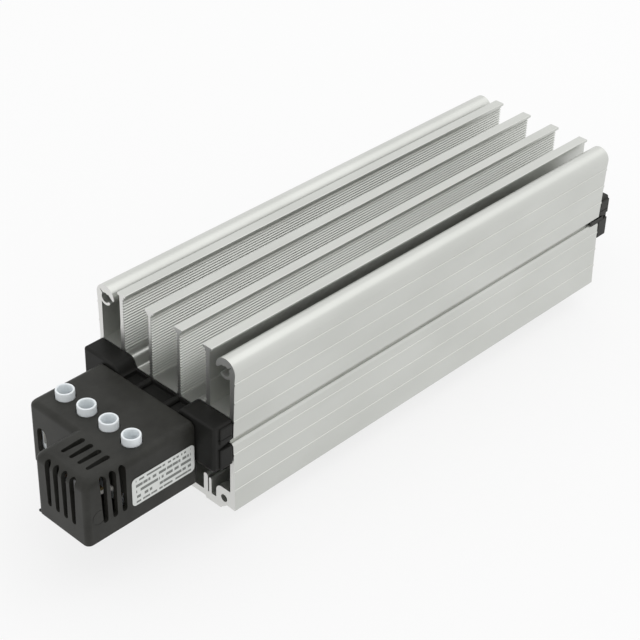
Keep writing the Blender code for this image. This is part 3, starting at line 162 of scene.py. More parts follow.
FOOT_BLOCK_ROUND = 2.4 * MM
FOOT_PORT_PLACE = 25.7 * MM
FOOT_PORT_HEIGHT = 4.6 * MM
FOOT_PORT_RADIUS = 1.35 * MM
RIVET_PLACE = 9.0 * MM
RIVET_HOLE = 1.8 * MM

# Finer forms of the body that only the looks have
RIB_PITCH = 1.0 * MM
RIB_BEVEL = (0.34 * MM, 0.27 * MM)
RIB_GROOVE_DEPTH = 0.5 * MM
RIB_GROOVE_ROOM = 0.1 * MM
RIDGES_EACH_SIDE = 3
RIDGE_WIDTH = 0.9 * MM
RIDGE_DEPTH = 0.18 * MM
RIDGE_SLOPE = 0.58
RIDGE_TOP_ROOM = 3.55 * MM
RIDGE_CROP_ABOVE = 0.8 * MM
RIDGE_FOOT_ROOM = 7.7 * MM
RIDGE_CROP_BELOW = 3.4 * MM
GROOVE_EDGE = 0.2 * MM
GROOVE_SHELF = 0.85 * MM
GROOVE_SLOT_DEPTH = 1.65 * MM
FOOT_ROUND = 0.4 * MM

# Plastic end pieces
BRACKET_DEPTH = 7.2 * MM
CAP_DEPTH = 5.5 * MM
END_BOTTOM = 20.7 * MM
END_ROUND = 0.9 * MM
END_CORNER_LEFT = 0.05 * MM
END_STEP_SHIFT = 0.7
END_CORE_HALF = 29.4 * MM
END_CORE_DROP = 0.1 * MM
END_BLOCK_LENGTH = 5.0 * MM
END_BLOCK_HALF = 30.0 * MM
END_BLOCK_ROOT = 2.0 * MM
END_BLOCK_ROUND = 0.35 * MM
END_UPPER_BLOCK = (30.3 * MM, 36.1 * MM)
END_LOWER_BLOCK = (21.0 * MM, 28.3 * MM)
END_WEDGE = [(5.6 * MM, 28.55 * MM), (5.6 * MM, 28.45 * MM), (-1.0 * MM, 27.95 * MM),
             (-1.0 * MM, 30.0 * MM)]
END_WEDGE_DEPTH = 2.4 * MM
END_FINE_ROOM = 0.5 * MM
END_FINE_HEIGHT = 32.0 * MM
END_FINE_SLIT = 0.25 * MM
END_FINE_DEPTH = 0.9 * MM
POCKET_HALF = 12.3 * MM
POCKET_FRONT_WALL = 0.6 * MM
POCKET_REAR_WALL = 0.5 * MM
POCKET_BOTTOM = 32.0 * MM
POCKET_ROUND = 0.3 * MM
WEB_RADIUS = 1.2 * MM
WEB_PLACE = 6.2 * MM
WEB_HEIGHT = 32.35 * MM
WEB_ROOT = 0.25 * MM
WINDOW_HALF = 7.0 * MM
FINGER_INSET = 0.1 * MM
FINGER_TIP = 0.1 * MM
FINGER_RINGS = [(2.5 * MM, 1.0), (-4.5 * MM, 1.0), (-4.9 * MM, 0.7)]

# Terminal box
BOX_FRONT = -35.4 * MM
BOX_BACK = -7.8 * MM
BOX_HALF = 21.6 * MM
BOX_BOTTOM = 13.0 * MM
BOX_TOP = 35.7 * MM
BOX_WALL = 1.6 * MM
BOX_CEILING = BOX_TOP - BOX_WALL
CAGE_FRONT = -49.6 * MM
CAGE_FAR = 1.1 * MM
BOX_CORNER_ROUND = 1.9 * MM
BOX_INNER_ROUND = 0.35 * MM
CAGE_FRONT_ROUND = 3.0 * MM
CAGE_FAR_ROUND = 2.6 * MM
BOX_NEAR_ROUND = 2.4 * MM
BOX_MAIN_ROUND = 2.0 * MM
BOX_FAR_ROUND = 2.4 * MM
BOX_BACK_ROUND = 0.5 * MM
BOX_STEPS = 10
FRONT_SLOTS = 4
FRONT_SLOT_PLACE = 5.9 * MM
FRONT_SLOT_PITCH = 3.65 * MM
FRONT_SLOT_FOOT = 1.7 * MM
FRONT_SLOT_HEAD = 2.3 * MM
SIDE_SLOTS = 3
SIDE_SLOT_PLACE = 6.6 * MM
SIDE_SLOT_PITCH = 3.6 * MM
SIDE_SLOT_LEAN = 0.4 * MM
SIDE_SLOT_FOOT = 1.8 * MM
SIDE_SLOT_HEAD = 2.5 * MM
SLOT_BOTTOM = 18.6 * MM
SLOT_TOP = 35.25 * MM
SLOT_DEPTH = 1.9 * MM
TOP_SLOT_START = -44.1 * MM
TOP_SLOT_END = -35.6 * MM
TOP_SLOT_FRONT = 1.3 * MM
TOP_SLOT_REAR = 1.9 * MM
ENTRY_OFFSET = 1.25 * MM
ENTRY_WIDTH = 4.2 * MM
ENTRY_BOTTOM = 16.9 * MM
ENTRY_TOP = 27.3 * MM
SPUR_SPREAD = 20
SPUR_ROOT = -0.1 * MM
SPUR_REACH = 0.6 * MM
SPUR_HEIGHT = 0.8 * MM
# Painted shade: thickness and bottom of a dark wall inside the box that stands in for the shade seen through
# the vents
SHADE_WALL_THICKNESS = 1.0 * MM
SHADE_WALL_BOTTOM = 23.7 * MM
EJECTOR_PLACE = (-45.0 * MM, 21.9 * MM)
EJECTOR_RADIUS = 2.5 * MM
EJECTOR_LINE = 0.2 * MM
EJECTOR_DEPTH = 0.08 * MM

# Terminal strip
POLES = [15.0 * MM, 5.0 * MM, -5.0 * MM, -15.0 * MM]
POLE_X = -26.5 * MM
STRIP_HALF = 19.3 * MM
STRIP_DEPTH = 13.6 * MM
STRIP_BOTTOM = 17.0 * MM
STRIP_TOP = 31.0 * MM
STRIP_NOTCH_WIDTH = 2.0 * MM
STRIP_NOTCH_DEPTH = 5.0 * MM
COLLAR_RADIUS = 3.0 * MM
COLLAR_BORE = 2.35 * MM
COLLAR_TOP = BOX_TOP + 2.65 * MM
INSERT_WIDTH = 5.6 * MM
INSERT_HEIGHT = 6.2 * MM
INSERT_TOP = 26.1 * MM

# Rating label: start of its face, its size, and the rows of bars in the place of print. A bar's height
# and the margin above and below the bars are parts of a row, the margin at the sides is one of the width
LABEL_START = PLACE + Vector((-32.7, -21.8, 18.2)) * MM
LABEL_SIZE = (24.4 * MM, 10.1 * MM)
LABEL_ROWS = 5
LABEL_BAR = 0.5
LABEL_GAPS = 0.44
LABEL_BAR_SCALE = (16.0, 3.7, 1.0)
LABEL_BAR_NOISE = (1.0, 1.0, 0.5)
LABEL_SIDE_MARGIN = 0.06
LABEL_ROW_MARGIN = 0.4

# Carried-over nodes whose sharp edges are rounded
SOFT_EDGE = 0.12 * MM
SOFT_EDGE_STEPS = 2
SOFTENED = ["terminal_box_base", "rail_clip", "clip_rivet_1", "clip_rivet_2", "rating_label",
            "thermostat_body", "thermostat_cap", "clamp_insert_1", "clamp_insert_2", "clamp_insert_3",
            "clamp_insert_4"]

# Camera, solved from the photograph's straight edges
CAMERA_PLACE = Vector((-273.22, -315.47, 346.94)) * MM
CAMERA_AZIMUTH = -0.82519
CAMERA_ELEVATION = 0.60556
CAMERA_ROLL = 0.032033
CAMERA_LENS = 96.02
CAMERA_NEAR = 10.0 * MM
SENSOR = 36.0

# Light and floor
WHITE = (1.0, 1.0, 1.0, 1.0)
WORLD_STRENGTH = 0.95
OVERHEAD_PLACE = (0.57, -0.2, 0.9)
OVERHEAD_SIZE = (1.15, 1.1)
OVERHEAD_POWER = 1.9
FLOOR_GREY = (0.85, 0.85, 0.85, 1.0)
FLOOR_GLOW = 1.0
FLOOR_GLOW_SHARE = 0.75
FLOOR_DROP = 0.05 * MM
STUDIO_REACH = 2.5

# Noise of the surfaces: its stretch along each axis, then its scale, detail and roughness
EVEN = (1.0, 1.0, 1.0)
DIE_LINES = ((6.0, 2600.0, 2600.0), 1.0, 4.0, 0.6)
CLOUDING = ((30.0, 60.0, 60.0), 1.0, 2.0, 0.5)
SAW_MARKS = ((200.0, 2200.0, 260.0), 1.0, 3.0, 0.6)
PORES = (EVEN, 3200.0, 3.0, 0.6)
FLOW_MARKS = (EVEN, 90.0, 4.0, 0.6)
METAL_GRAIN = (EVEN, 900.0, 3.0, 0.6)
FILM_GRAIN = (EVEN, 160.0, 3.0, 0.5)

# Strength and depth of the bumps that the noise raises
DIE_LINE_BUMP = (0.10, 0.02 * MM)
SAW_MARK_BUMP = (0.12, 0.02 * MM)
PORE_DEPTH = 0.05 * MM
FLOW_BUMP = (0.05, 0.1 * MM)
METAL_BUMP = (0.05, 0.02 * MM)
FILM_BUMP = (0.02, 0.05 * MM)

# Extruded body: how far a face looks along X to be a sawn end, and its drawn and sawn colours and gloss
END_FACING = 0.7
CLOUDING_RANGE = (0.35, 0.65)
DRAWN_DARK = (0.585, 0.595, 0.565)
DRAWN_LIGHT = (0.625, 0.635, 0.605)
DRAWN_ROUGHNESS = (0.32, 0.40)
DRAWN_METALLIC = 0.82
SAWN = (0.72, 0.72, 0.70)
SAWN_ROUGHER = 0.02

# How far the roughness strays from a finish's own, and the range of the flow marks
PLASTIC_STRAY = (-0.05, 0.07)
METAL_STRAY = (-0.06, 0.08)
FLOW_RANGE = (0.3, 0.7)

# The label's film and its bars
FILM_DARK = (0.64, 0.66, 0.64)
FILM_LIGHT = (0.70, 0.71, 0.69)
FILM_ROUGHNESS = (0.32, 0.42)
INK = (0.16, 0.17, 0.16)

# Metals: darker and lighter colour, roughness
METALS = {
    "plain_aluminium": ((0.50, 0.51, 0.52), (0.58, 0.59, 0.59), 0.42),
    "brass": ((0.36, 0.28, 0.14), (0.46, 0.36, 0.18), 0.4),
    "zinc_plated_steel": ((0.58, 0.59, 0.61), (0.66, 0.67, 0.67), 0.3),
}

# Plastics and the ceramic: darker and lighter colour, roughness, strength of the texture, gloss
PLASTICS = {
    "black_polyamide": ((0.014, 0.014, 0.0115), (0.033, 0.033, 0.029), 0.45, 0.15, 0.24),
    "bracket_polyamide": ((0.010, 0.010, 0.0092), (0.018, 0.018, 0.0165), 0.5, 0.15, 0.15),
    "phenolic_resin": ((0.05, 0.03, 0.022), (0.075, 0.045, 0.03), 0.42, 0.15, 0.5),
    "natural_nylon": ((0.82, 0.86, 0.88), (0.87, 0.91, 0.93), 0.38, 0.05, 0.5),
    "heating_ceramic": ((0.20, 0.19, 0.18), (0.25, 0.24, 0.22), 0.7, 0.3, 0.5),
    "polyimide_film": ((0.50, 0.25, 0.05), (0.58, 0.31, 0.08), 0.3, 0.03, 0.5),
    "silicone_insulation": ((0.72, 0.71, 0.67), (0.78, 0.77, 0.73), 0.5, 0.08, 0.5),
}


# ---------------------------------------------------------------- finishes
def new_material(name):
    """A new material and its empty node tree."""
    material = bpy.data.materials.new(name)
    material.use_nodes = True
    tree = material.node_tree
    tree.nodes.clear()
    return material, tree


def node(tree, kind, inputs=None, **settings):
    """A shader node with its settings, and its inputs given as values or as sockets to link."""
    made = tree.nodes.new(kind)
    for key, value in settings.items():
        setattr(made, key, value)
    for key, value in (inputs or {}).items():
        if isinstance(value, bpy.types.NodeSocket):
            tree.links.new(value, made.inputs[key])
        else:
            made.inputs[key].default_value = value
    return made


def maths(tree, operation, *values):
    """The result of a math node, from values or sockets."""
    return node(tree, "ShaderNodeMath", dict(enumerate(values)), operation=operation).outputs[0]


def noise(tree, vector, scale, detail, roughness):
    """Noise as a value."""
    return node(tree, "ShaderNodeTexNoise", {"Vector": vector, "Scale": scale, "Detail": detail,
                                            "Roughness": roughness}).outputs["Fac"]


def grain(tree, stretch, scale, detail, roughness):
    """Noise over the object, stretched along each axis."""
    place = node(tree, "ShaderNodeTexCoord").outputs["Object"]
    vector = node(tree, "ShaderNodeMapping", {"Vector": place, "Scale": stretch}).outputs[0]
    return noise(tree, vector, scale, detail, roughness)


def spread(tree, value, low, high, start=0.0, end=1.0):
    """A value mapped from one range onto another."""
    return node(tree, "ShaderNodeMapRange", {"Value": value, "From Min": start, "From Max": end,
                                             "To Min": low, "To Max": high}).outputs[0]


def mixed(tree, factor, first, second):
    """Two colours mixed by a factor."""
    made = node(tree, "ShaderNodeMix", {"Factor": factor}, data_type="RGBA")
    for key, value in (("A", first), ("B", second)):
        socket = [s for s in made.inputs if s.name == key and s.type == "RGBA"][0]
        if isinstance(value, bpy.types.NodeSocket):
            tree.links.new(value, socket)
        else:
            socket.default_value = (*value, 1.0)
    return [s for s in made.outputs if s.type == "RGBA"][0]


def surface(tree, inputs, bumps=()):
    """The principled shader with its bumps, joined to the output."""
    normal = None
    for height, strength, distance in bumps:
        settings = {"Height": height, "Strength": strength, "Distance": distance}
        if normal is not None:
            settings["Normal"] = normal
        normal = node(tree, "ShaderNodeBump", settings).outputs[0]
    if normal is not None:
        inputs = {**inputs, "Normal": normal}
    shader = node(tree, "ShaderNodeBsdfPrincipled", inputs)
    node(tree, "ShaderNodeOutputMaterial", {"Surface": shader.outputs[0]})


def extruded_aluminium(name):
    """Satin anodised aluminium with die lines along X and saw marks on the cut ends."""
    material, tree = new_material(name)
    drawn = grain(tree, *DIE_LINES)
    cloud = grain(tree, *CLOUDING)
    normal = node(tree, "ShaderNodeTexCoord").outputs["Normal"]
    facing = node(tree, "ShaderNodeSeparateXYZ", {"Vector": normal}).outputs[0]
    cut = maths(tree, "GREATER_THAN", maths(tree, "ABSOLUTE", facing), END_FACING)
    sawn = grain(tree, *SAW_MARKS)
    tone = mixed(tree, spread(tree, cloud, 0.0, 1.0, *CLOUDING_RANGE), DRAWN_DARK, DRAWN_LIGHT)
    tone = mixed(tree, cut, tone, SAWN)
    rough = maths(tree, "ADD", spread(tree, drawn, *DRAWN_ROUGHNESS), spread(tree, cut, 0.0, SAWN_ROUGHER))
    surface(tree, {"Base Color": tone, "Roughness": rough,
                   "Metallic": spread(tree, cut, DRAWN_METALLIC, 1.0)},
            [(drawn, *DIE_LINE_BUMP), (sawn, *SAW_MARK_BUMP)])
    return material


def moulded_plastic(name, colour, light, rough, texture, gloss):
    """Moulded plastic with a fine eroded texture and faint flow marks."""
    material, tree = new_material(name)
    pores = grain(tree, *PORES)
    flow = grain(tree, *FLOW_MARKS)
    tone = mixed(tree, spread(tree, flow, 0.0, 1.0, *FLOW_RANGE), colour, light)
    surface(tree, {"Base Color": tone, "Specular IOR Level": gloss,
                   "Roughness": spread(tree, flow, *(rough + stray for stray in PLASTIC_STRAY))},
            [(pores, texture, PORE_DEPTH), (flow, *FLOW_BUMP)])
    return material


def metal(name, colour, light, rough):
    """A plain metal with fine uneven gloss."""
    material, tree = new_material(name)
    fine = grain(tree, *METAL_GRAIN)
    surface(tree, {"Base Color": mixed(tree, fine, colour, light), "Metallic": 1.0,
                   "Roughness": spread(tree, fine, *(rough + stray for stray in METAL_STRAY))},
            [(fine, *METAL_BUMP)])
    return material


def printed_label(name):
    """Silver film with rows of plain bars in the place of print."""
    material, tree = new_material(name)
    place = node(tree, "ShaderNodeTexCoord").outputs["Object"]
    place = node(tree, "ShaderNodeSeparateXYZ", {"Vector": place})
    along = spread(tree, place.outputs[0], 0.0, 1.0, LABEL_START.x, LABEL_START.x + LABEL_SIZE[0])
    up = spread(tree, place.outputs[2], 0.0, LABEL_ROWS, LABEL_START.z, LABEL_START.z + LABEL_SIZE[1])
    bars = node(tree, "ShaderNodeCombineXYZ", {0: along, 1: maths(tree, "FLOOR", up)}).outputs[0]
    bars = node(tree, "ShaderNodeMapping", {"Vector": bars, "Scale": LABEL_BAR_SCALE}).outputs[0]
    ink = maths(tree, "GREATER_THAN", noise(tree, bars, *LABEL_BAR_NOISE), LABEL_GAPS)
    for value, middle, reach in ((maths(tree, "FRACT", up), 0.5, LABEL_BAR / 2),
                                 (along, 0.5, 0.5 - LABEL_SIDE_MARGIN),
                                 (up, LABEL_ROWS / 2, LABEL_ROWS / 2 - LABEL_ROW_MARGIN)):
        ink = maths(tree, "MULTIPLY", ink, maths(tree, "COMPARE", value, middle, reach))
    film = grain(tree, *FILM_GRAIN)
    tone = mixed(tree, ink, mixed(tree, film, FILM_DARK, FILM_LIGHT), INK)
    surface(tree, {"Base Color": tone, "Roughness": spread(tree, film, *FILM_ROUGHNESS)},
            [(film, *FILM_BUMP)])
    return material


FINISHES = {"anodised_aluminium": extruded_aluminium("anodised_aluminium"),
            "silver_label": printed_label("silver_label")}
FINISHES.update({name: metal(name, *values) for name, values in METALS.items()})
FINISHES.update({name: moulded_plastic(name, *values) for name, values in PLASTICS.items()})

for part in frame["record"]["subparts"]:
    piece = nodes[part["node"]]
    piece.data.materials.clear()
    piece.data.materials.append(FINISHES[part["material_slot"]])


# ---------------------------------------------------------------- shapes
def placed(point):
    """A place in the design frame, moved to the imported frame."""
    return PLACE + Vector(point)


def link_piece(name, mesh):
    """An object in the scene for a mesh."""
    piece = bpy.data.objects.new(name, mesh)
    bpy.context.scene.collection.objects.link(piece)
    return piece


def skin(name, points, faces):
    """A piece from points in the design frame and faces, with outward normals."""
    mesh = bpy.data.meshes.new(name)
    mesh.from_pydata([placed(point) for point in points], [], faces)
    shaped = bmesh.new()
    shaped.from_mesh(mesh)
    bmesh.ops.recalc_face_normals(shaped, faces=shaped.faces)
    shaped.to_mesh(mesh)
    shaped.free()
    return link_piece(name, mesh)


def lofted(name, rings):
    """A closed skin through rings of points, with a flat face on the first and last ring."""
    count = len(rings[0])
    points = [point for ring in rings for point in ring]
    faces = [tuple(range(count)), tuple(range(len(points) - count, len(points)))]
    for level in range(len(rings) - 1):
        low = level * count
        for i in range(count):
            j = (i + 1) % count
            faces.append((low + i, low + j, low + count + j, low + count + i))
    return skin(name, points, faces)


def turned(name, profile, centre, segments):
    """A closed outline of radius and height pairs, turned about the upright axis through a centre."""
    centre = Vector(centre)
    points = []
    for i in range(segments):
        angle = 2 * math.pi * i / segments
        for radius, height in profile:
            points.append(centre + Vector((radius * math.cos(angle), radius * math.sin(angle), height)))
    count = len(profile)
    faces = []
    for i in range(segments):
        here, there = i * count, (i + 1) % segments * count
        for j in range(count):
            following = (j + 1) % count
            faces.append((here + j, there + j, there + following, here + following))
    return skin(name, points, faces)


def arc(centre, radius, start, end, steps):
    """Points on an arc from one angle to the other, in degrees, both ends included."""
    points = []
    for i in range(steps + 1):
        angle = math.radians(start + (end - start) * i / steps)
        points.append((centre[0] + radius * math.cos(angle), centre[1] + radius * math.sin(angle)))
    return points


def circle(centre, radius, steps=ROUND_STEPS):
    """Points round a full circle."""
    return arc(centre, radius, 0, 360 - 360 / steps, steps - 1)


def mirrored(half):
    """A closed outline from its half at positive first coordinate, listed from the middle out."""
    return half + [(-a, b) for a, b in reversed(half) if a > MERGE_DISTANCE]


def swept(name, loops, start, depth, lay):
    """A flat outline, with holes, swept through depth along X, Y or Z."""
    curve = bpy.data.curves.new(name, "CURVE")
    curve.dimensions = "2D"
    curve.fill_mode = "BOTH"
    curve.extrude = depth / 2
    for loop in loops:
        spline = curve.splines.new("POLY")
        spline.points.add(len(loop) - 1)
        for point, (a, b) in zip(spline.points, loop):
            point.co = (a, b, 0, 1)
        spline.use_cyclic_u = True
    drawn = link_piece(name, curve)
    bpy.context.view_layer.update()
    mesh = bpy.data.meshes.new_from_object(drawn.evaluated_get(bpy.context.evaluated_depsgraph_get()))
    bpy.data.objects.remove(drawn, do_unlink=True)
    middle = start + depth / 2
    for vertex in mesh.vertices:
        a, b, c = vertex.co
        vertex.co = placed({"X": (middle + c, a, b), "Y": (a, middle - c, b), "Z": (a, b, middle + c)}[lay])
    shaped = bmesh.new()
    shaped.from_mesh(mesh)
    bmesh.ops.remove_doubles(shaped, verts=shaped.verts, dist=MERGE_DISTANCE)
    bmesh.ops.dissolve_limit(shaped, angle_limit=math.radians(FLAT_ANGLE), verts=shaped.verts,
                             edges=shaped.edges)
    shaped.to_mesh(mesh)
    shaped.free()
    return link_piece(name, mesh)


def block(name, low, high, edge=0.0):
    """A rectangular block between two corners, with rounded edges where an edge radius is given."""
    shaped = bmesh.new()
    bmesh.ops.create_cube(shaped, size=1.0)
    bmesh.ops.scale(shaped, vec=Vector(high) - Vector(low), verts=shaped.verts)
    bmesh.ops.translate(shaped, vec=placed((Vector(high) + Vector(low)) / 2), verts=shaped.verts)
    if edge:
        bmesh.ops.bevel(shaped, geom=shaped.edges[:], offset=edge, segments=TIGHT_STEPS, profile=0.5,
                        affect="EDGES")
    mesh = bpy.data.meshes.new(name)
    shaped.to_mesh(mesh)
    shaped.free()
    return link_piece(name, mesh)


def rod(name, radius, low, high, axis, segments=ROUND_STEPS):
    """A round bar along X or Z from one point to another."""
    centre = Vector(low)
    length = (Vector(high) - centre).length
    rings = []
    for height in (0, length):
        ring = []
        for i in range(segments):
            angle = 2 * math.pi * i / segments
            a, b = radius * math.cos(angle), radius * math.sin(angle)
            ring.append(centre + Vector({"Z": (a, b, height), "X": (height, a, b)}[axis]))
        rings.append(ring)
    return lofted(name, rings)


def carve(piece, tools, operation="DIFFERENCE"):
    """Cut a piece with tools, or join them to it, and take the tools away."""
    for tool in tools:
        step = piece.modifiers.new("carve", "BOOLEAN")
        step.operation = operation
        step.solver = "EXACT"
        step.object = tool
    bpy.context.view_layer.update()
    shaped = bpy.data.meshes.new_from_object(piece.evaluated_get(bpy.context.evaluated_depsgraph_get()))
    piece.modifiers.clear()
    piece.data = shaped
    for tool in tools:
        bpy.data.objects.remove(tool, do_unlink=True)


def finished(piece, finish, stands_for):
    """Smooth shading, finish, body, material slot and replaced nodes of a piece."""
    piece.data.materials.clear()
    piece.data.materials.append(finish)
    piece.data.shade_smooth()
    piece.data.set_sharp_from_angle(angle=math.radians(SHARP_ANGLE))
    weights = piece.modifiers.new("flat_faces_flat", "WEIGHTED_NORMAL")
    weights.keep_sharp = True
    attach(piece, ROOT)
    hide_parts(*stands_for)


# ---------------------------------------------------------------- extruded body
def wall_face(height):
    """How far the outer wall stands from the middle at a height: a slight waist."""
    along = min(1.0, abs(height - GROOVE_HEIGHT) / WAIST_REACH)
    return HALF_WIDTH - WAIST_DEPTH * (1 - along)


def ribs(face, outwards, low, high):
    """Ribs with an upward bevel and an undercut groove above it, up one face of a fin from low to high."""
    count = int((high - low) / RIB_PITCH)
    start = (low + high - count * RIB_PITCH) / 2
    back = face - outwards * RIB_GROOVE_DEPTH
    points = []
    for i in range(count):
        foot = start + i * RIB_PITCH
        points += [(face, foot), (face - outwards * RIB_BEVEL[0], foot + RIB_BEVEL[1]),
                   (back, foot + RIB_BEVEL[1]), (back, foot + RIB_PITCH - RIB_GROOVE_ROOM)]
    return points + [(face, start + count * RIB_PITCH)]


def fin(place, inner_floor, outer_floor, outer_ribbed):
    """One fin of the half section, up its inner face, over its head and down its outer face."""
    half = FIN_THICKNESS / 2
    head = FIN_HEAD_WIDTH / 2
    head_bottom = FIN_TOP - FIN_HEAD_HEIGHT
    neck = head_bottom - (head - half) * FIN_NECK_SLOPE
    clear = RIB_PITCH / 2
    points = [(place - half, inner_floor)]
    points += ribs(place - half, -1, inner_floor + clear, neck - clear)
    points += [(place - half, neck), (place - head, head_bottom)]
    rounding = FIN_HEAD_ROUND
    points += arc((place - head + rounding, FIN_TOP - rounding), rounding, 180, 90, SMALL_STEPS)
    points += arc((place + head - rounding, FIN_TOP - rounding), rounding, 90, 0, SMALL_STEPS)
    points += [(place + head, head_bottom), (place + half, neck)]
    if outer_ribbed:
        points += reversed(ribs(place + half, 1, outer_floor + clear, neck - clear))
        points.append((place + half, outer_floor))
    else:
        points.append((place + half, FIN_STEP_HEIGHT))
        points.append((place + half + FIN_STEP, FIN_STEP_HEIGHT - FIN_STEP))
        points.append((place + half + FIN_STEP, outer_floor))
    return points


def floor_step():
    """The rounded rise of the floor from its low middle to its high sides."""
    foot = (STEP_PLACE, FLOOR_LOW + STEP_FOOT_RADIUS)
    lean = math.radians(STEP_LEAN)
    run = STEP_FOOT_RADIUS + STEP_TOP_RADIUS
    rise = FLOOR_STEP - run * (1 - math.cos(lean))
    sideways = run * math.sin(lean) + rise / math.tan(lean)
    top = (STEP_PLACE + sideways, FLOOR_HIGH - STEP_TOP_RADIUS)
    return (arc(foot, STEP_FOOT_RADIUS, -90, STEP_LEAN - 90, FLOOR_FOOT_STEPS)
            + arc(top, STEP_TOP_RADIUS, 90 + STEP_LEAN, 90, FLOOR_TOP_STEPS))


def wall_top():
    """The curled top of the outer wall with its screw port, from the wall's inner face."""
    centre = (HALF_WIDTH - HOOK_RADIUS, HOOK_TOP - HOOK_RADIUS)
    port = (centre[0], centre[1] - HOOK_PORT_DROP)
    lip_radius = HOOK_PORT_RADIUS + HOOK_LIP
    root = math.degrees(math.acos(min(1.0, (WALL_INSIDE - port[0]) / lip_radius)))
    tip = arc(port, (HOOK_PORT_RADIUS + lip_radius) / 2, HOOK_LIP_END, HOOK_LIP_END, 1)[0]
    points = arc(port, lip_radius, -root, HOOK_LIP_END - 360, HOOK_LIP_STEPS)
    points += arc(tip, HOOK_LIP / 2, HOOK_LIP_END, HOOK_LIP_END - 180, SMALL_STEPS)[1:-1]
    points += arc(port, HOOK_PORT_RADIUS, HOOK_LIP_END - 360, HOOK_SLIT_START, HOOK_PORT_STEPS) + HOOK_SLIT
    points += arc(port, HOOK_PORT_RADIUS, HOOK_SLIT_END, HOOK_PORT_END, HOOK_SLIT_STEPS) + [HOOK_NOTCH]
    curl = (centre[0] - HOOK_RADIUS + HOOK_CURL, centre[1] + HOOK_CURL_RISE)
    points += arc(curl, HOOK_CURL, HOOK_CURL_START, 180, SMALL_STEPS)
    outside_start = 180 - math.degrees(math.asin(HOOK_CURL_RISE / HOOK_RADIUS))
    return points + arc(centre, HOOK_RADIUS, outside_start, 0, HOOK_STEPS)[1:]


def ridge(height):
    """A flat ridge of the outer wall with slanting sides, from its upper to its lower edge."""
    face = wall_face(height)
    foot, crest = RIDGE_WIDTH / 2, RIDGE_WIDTH / 2 - RIDGE_DEPTH * RIDGE_SLOPE
    return [(face - RIDGE_DEPTH, height + foot), (face, height + crest), (face, height - crest),
            (face - RIDGE_DEPTH, height - foot)]


def wall_outside():
    """The outer wall from its curled top down to the foot: flats, thin ridges and the side groove."""
    upper_lip = GROOVE_HEIGHT + GROOVE_OPENING / 2
    lower_lip = GROOVE_HEIGHT - GROOVE_OPENING / 2
    top_ridge = HOOK_TOP - HOOK_RADIUS - RIDGE_TOP_ROOM
    pitch = (top_ridge - upper_lip + RIDGE_CROP_ABOVE) / RIDGES_EACH_SIDE
    points = []
    for i in range(RIDGES_EACH_SIDE, 0, -1):
        points += ridge(upper_lip + pitch * i - RIDGE_CROP_ABOVE)
    points.append((wall_face(upper_lip) - RIDGE_DEPTH, upper_lip + GROOVE_EDGE))
    points.append((wall_face(upper_lip) - RIDGE_DEPTH - GROOVE_EDGE / 2, upper_lip))
    slope = (GROOVE_OPENING - GROOVE_FLAT) / 2 / GROOVE_DEPTH
    back, shelf = wall_face(upper_lip) - GROOVE_SLOT_DEPTH, wall_face(lower_lip) - GROOVE_SHELF
    points += [(back, upper_lip - GROOVE_EDGE), (back, lower_lip + GROOVE_SHELF * slope),
               (shelf, lower_lip + GROOVE_SHELF * slope)]
    points.append((wall_face(lower_lip) - RIDGE_DEPTH - GROOVE_EDGE / 2, lower_lip))
    points.append((wall_face(lower_lip) - RIDGE_DEPTH, lower_lip - GROOVE_EDGE))
    pitch = (lower_lip - FOOT_HEIGHT - RIDGE_FOOT_ROOM + RIDGE_CROP_BELOW) / RIDGES_EACH_SIDE
    for i in range(1, RIDGES_EACH_SIDE + 1):
        points += ridge(lower_lip - pitch * i + RIDGE_CROP_BELOW)
    return points


def profile_foot():
    """Foot of the wall, its notch, and the underside of the bottom plate with its recess."""
    edge = wall_face(FOOT_HEIGHT)
    inner = edge - FOOT_WIDTH
    points = arc((edge - FOOT_ROUND, FOOT_HEIGHT + FOOT_ROUND), FOOT_ROUND, 0, -90, FOOT_STEPS)
    points += [(inner, FOOT_HEIGHT + FOOT_NOTCH / 2), (inner - 2 * FOOT_NOTCH, FOOT_HEIGHT + FOOT_NOTCH)]
    points += arc((PLATE_HALF_WIDTH - FOOT_ROUND, FOOT_ROUND), FOOT_ROUND, 0, -90, FOOT_STEPS)
    points += [(RECESS_HALF_WIDTH, 0), (RECESS_HALF_WIDTH - FOOT_NOTCH, RECESS_DEPTH), (0, RECESS_DEPTH)]
    return points


def lower_chamber():
    """The air space between the bottom plate and the lower web, with the guide ribs."""
    guide_round = GUIDE_THICKNESS / 2
    outer = GUIDE_PLACE + GUIDE_THICKNESS + GUIDE_SLOT
    outer_round = GUIDE_OUTER_THICKNESS / 2
    half = [(0, PLATE_THICKNESS), (GUIDE_PLACE, PLATE_THICKNESS)]
    half += arc((GUIDE_PLACE + guide_round, GUIDE_HEIGHT - guide_round), guide_round, 180, 0, GUIDE_STEPS)
    half += [(GUIDE_PLACE + GUIDE_THICKNESS, PLATE_THICKNESS), (outer, PLATE_THICKNESS)]
    half += arc((outer + outer_round, GUIDE_OUTER_HEIGHT - outer_round), outer_round, 180, 0,
                GUIDE_OUTER_STEPS)
    half += [(outer + GUIDE_OUTER_THICKNESS, PLATE_THICKNESS), (FOOT_BLOCK_INNER, PLATE_THICKNESS)]
    half += arc((FOOT_BLOCK_INNER + FOOT_BLOCK_ROUND, FOOT_BLOCK_TOP - FOOT_BLOCK_ROUND),
                FOOT_BLOCK_ROUND, 180, 90, FOOT_BLOCK_STEPS)
    half += [(WALL_INSIDE, FOOT_BLOCK_TOP), (WALL_INSIDE, LOWER_WEB - WEB_CHAMFER)]
    half += [(WALL_INSIDE - WEB_CHAMFER, LOWER_WEB), (0, LOWER_WEB)]
    return mirrored(half)


